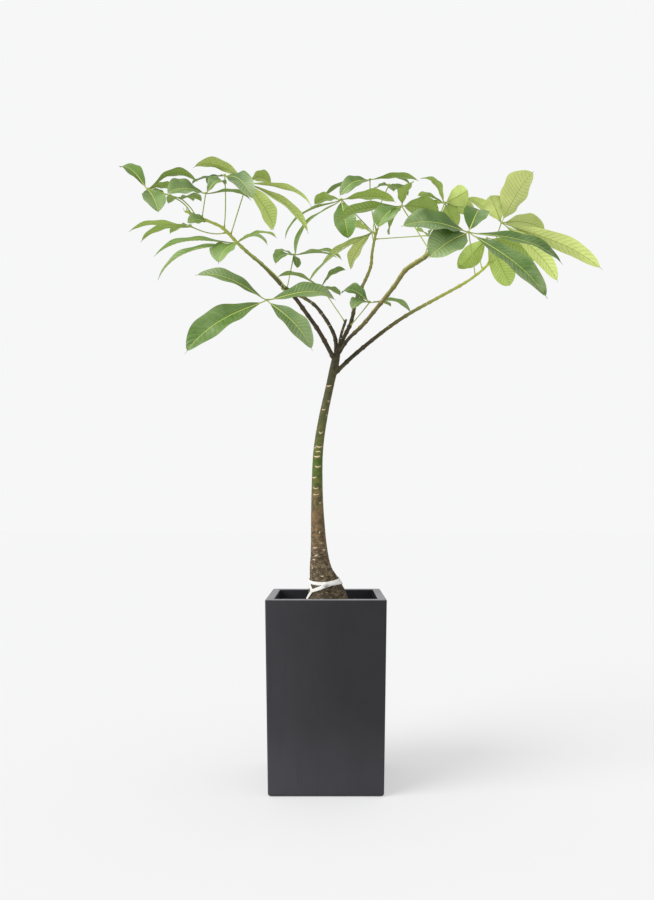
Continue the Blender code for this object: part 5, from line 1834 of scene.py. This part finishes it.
def settings_of(context, name):
    return getattr(context.scene, "money_tree_" + name)


class MONEYTREE_OT_planter(bpy.types.Operator):
    """Makes the tall square planter"""
    bl_idname = "moneytree.planter"
    bl_label = "Planter"

    def execute(self, context):
        settings = settings_of(context, "planter")
        build_planter(settings, fibre_clay(settings))
        return {"FINISHED"}


class MONEYTREE_OT_soil(bpy.types.Operator):
    """Makes the soil with its crumbs and grains of perlite"""
    bl_idname = "moneytree.soil"
    bl_label = "Soil"

    def execute(self, context):
        settings = settings_of(context, "soil")
        build_soil(settings, earth(settings), perlite())
        return {"FINISHED"}


class MONEYTREE_OT_stem(bpy.types.Operator):
    """Makes the stem with its branches, leaf scars and young shoots"""
    bl_idname = "moneytree.stem"
    bl_label = "Stem and branches"

    def execute(self, context):
        settings = settings_of(context, "stem")
        build_stem(settings, bark(settings))
        build_scars(settings, scar_tissue())
        build_shoots(petiole_skin("young_shoot"))
        return {"FINISHED"}


class MONEYTREE_OT_tie(bpy.types.Operator):
    """Makes the tape tied round the foot of the stem"""
    bl_idname = "moneytree.tie"
    bl_label = "Tie"

    def execute(self, context):
        settings = settings_of(context, "tie")
        build_tie(cotton_tape(settings))
        return {"FINISHED"}


class MONEYTREE_OT_leaves(bpy.types.Operator):
    """Makes every compound leaf"""
    bl_idname = "moneytree.leaves"
    bl_label = "Leaves"

    def execute(self, context):
        settings = settings_of(context, "leaves")
        finishes = (leaf_upper(settings), leaf_under(settings), petiole_skin("petiole"))
        tree = shared("Compound leaf", leaf_tree)
        for name, leaf in LEAVES.items():
            item = build_leaf(name.replace("leaf", "foliage"), leaf, settings, tree, finishes)
            show(item, "leaf_green", name)
        return {"FINISHED"}


class MONEYTREE_OT_stage(bpy.types.Operator):
    """Makes the floor, the light and the camera"""
    bl_idname = "moneytree.stage"
    bl_label = "Stage"

    def execute(self, context):
        settings = settings_of(context, "stage")
        build_floor(settings)
        build_sky(context.scene, settings)
        build_light(context.scene, settings)
        build_camera(context.scene)
        return {"FINISHED"}


OPERATORS = (MONEYTREE_OT_stage, MONEYTREE_OT_planter, MONEYTREE_OT_soil, MONEYTREE_OT_stem,
             MONEYTREE_OT_tie, MONEYTREE_OT_leaves)


class MONEYTREE_PT_panel(bpy.types.Panel):
    """Lists the pieces of the money tree"""
    bl_label = "Money tree"
    bl_idname = "MONEYTREE_PT_panel"
    bl_space_type = "VIEW_3D"
    bl_region_type = "UI"
    bl_category = "Money tree"

    def draw(self, context):
        for operator in OPERATORS:
            self.layout.operator(operator.bl_idname)
        for name in SETTINGS:
            box = self.layout.box()
            box.label(text=name.capitalize())
            settings = settings_of(context, name)
            for label in settings.bl_rna.properties.keys():
                if label not in ("rna_type", "name"):
                    box.prop(settings, label)


CLASSES = (*SETTINGS.values(), *OPERATORS, MONEYTREE_PT_panel)


def register():
    for item in CLASSES:
        bpy.utils.register_class(item)
    for name, kind in SETTINGS.items():
        setattr(bpy.types.Scene, "money_tree_" + name, bpy.props.PointerProperty(type=kind))


def unregister():
    for name in SETTINGS:
        delattr(bpy.types.Scene, "money_tree_" + name)
    for item in reversed(CLASSES):
        bpy.utils.unregister_class(item)


def main():
    register()
    bpy.ops.moneytree.stage()
    bpy.ops.moneytree.planter()
    bpy.ops.moneytree.soil()
    bpy.ops.moneytree.stem()
    bpy.ops.moneytree.tie()
    bpy.ops.moneytree.leaves()


if __name__ == "__main__":
    main()
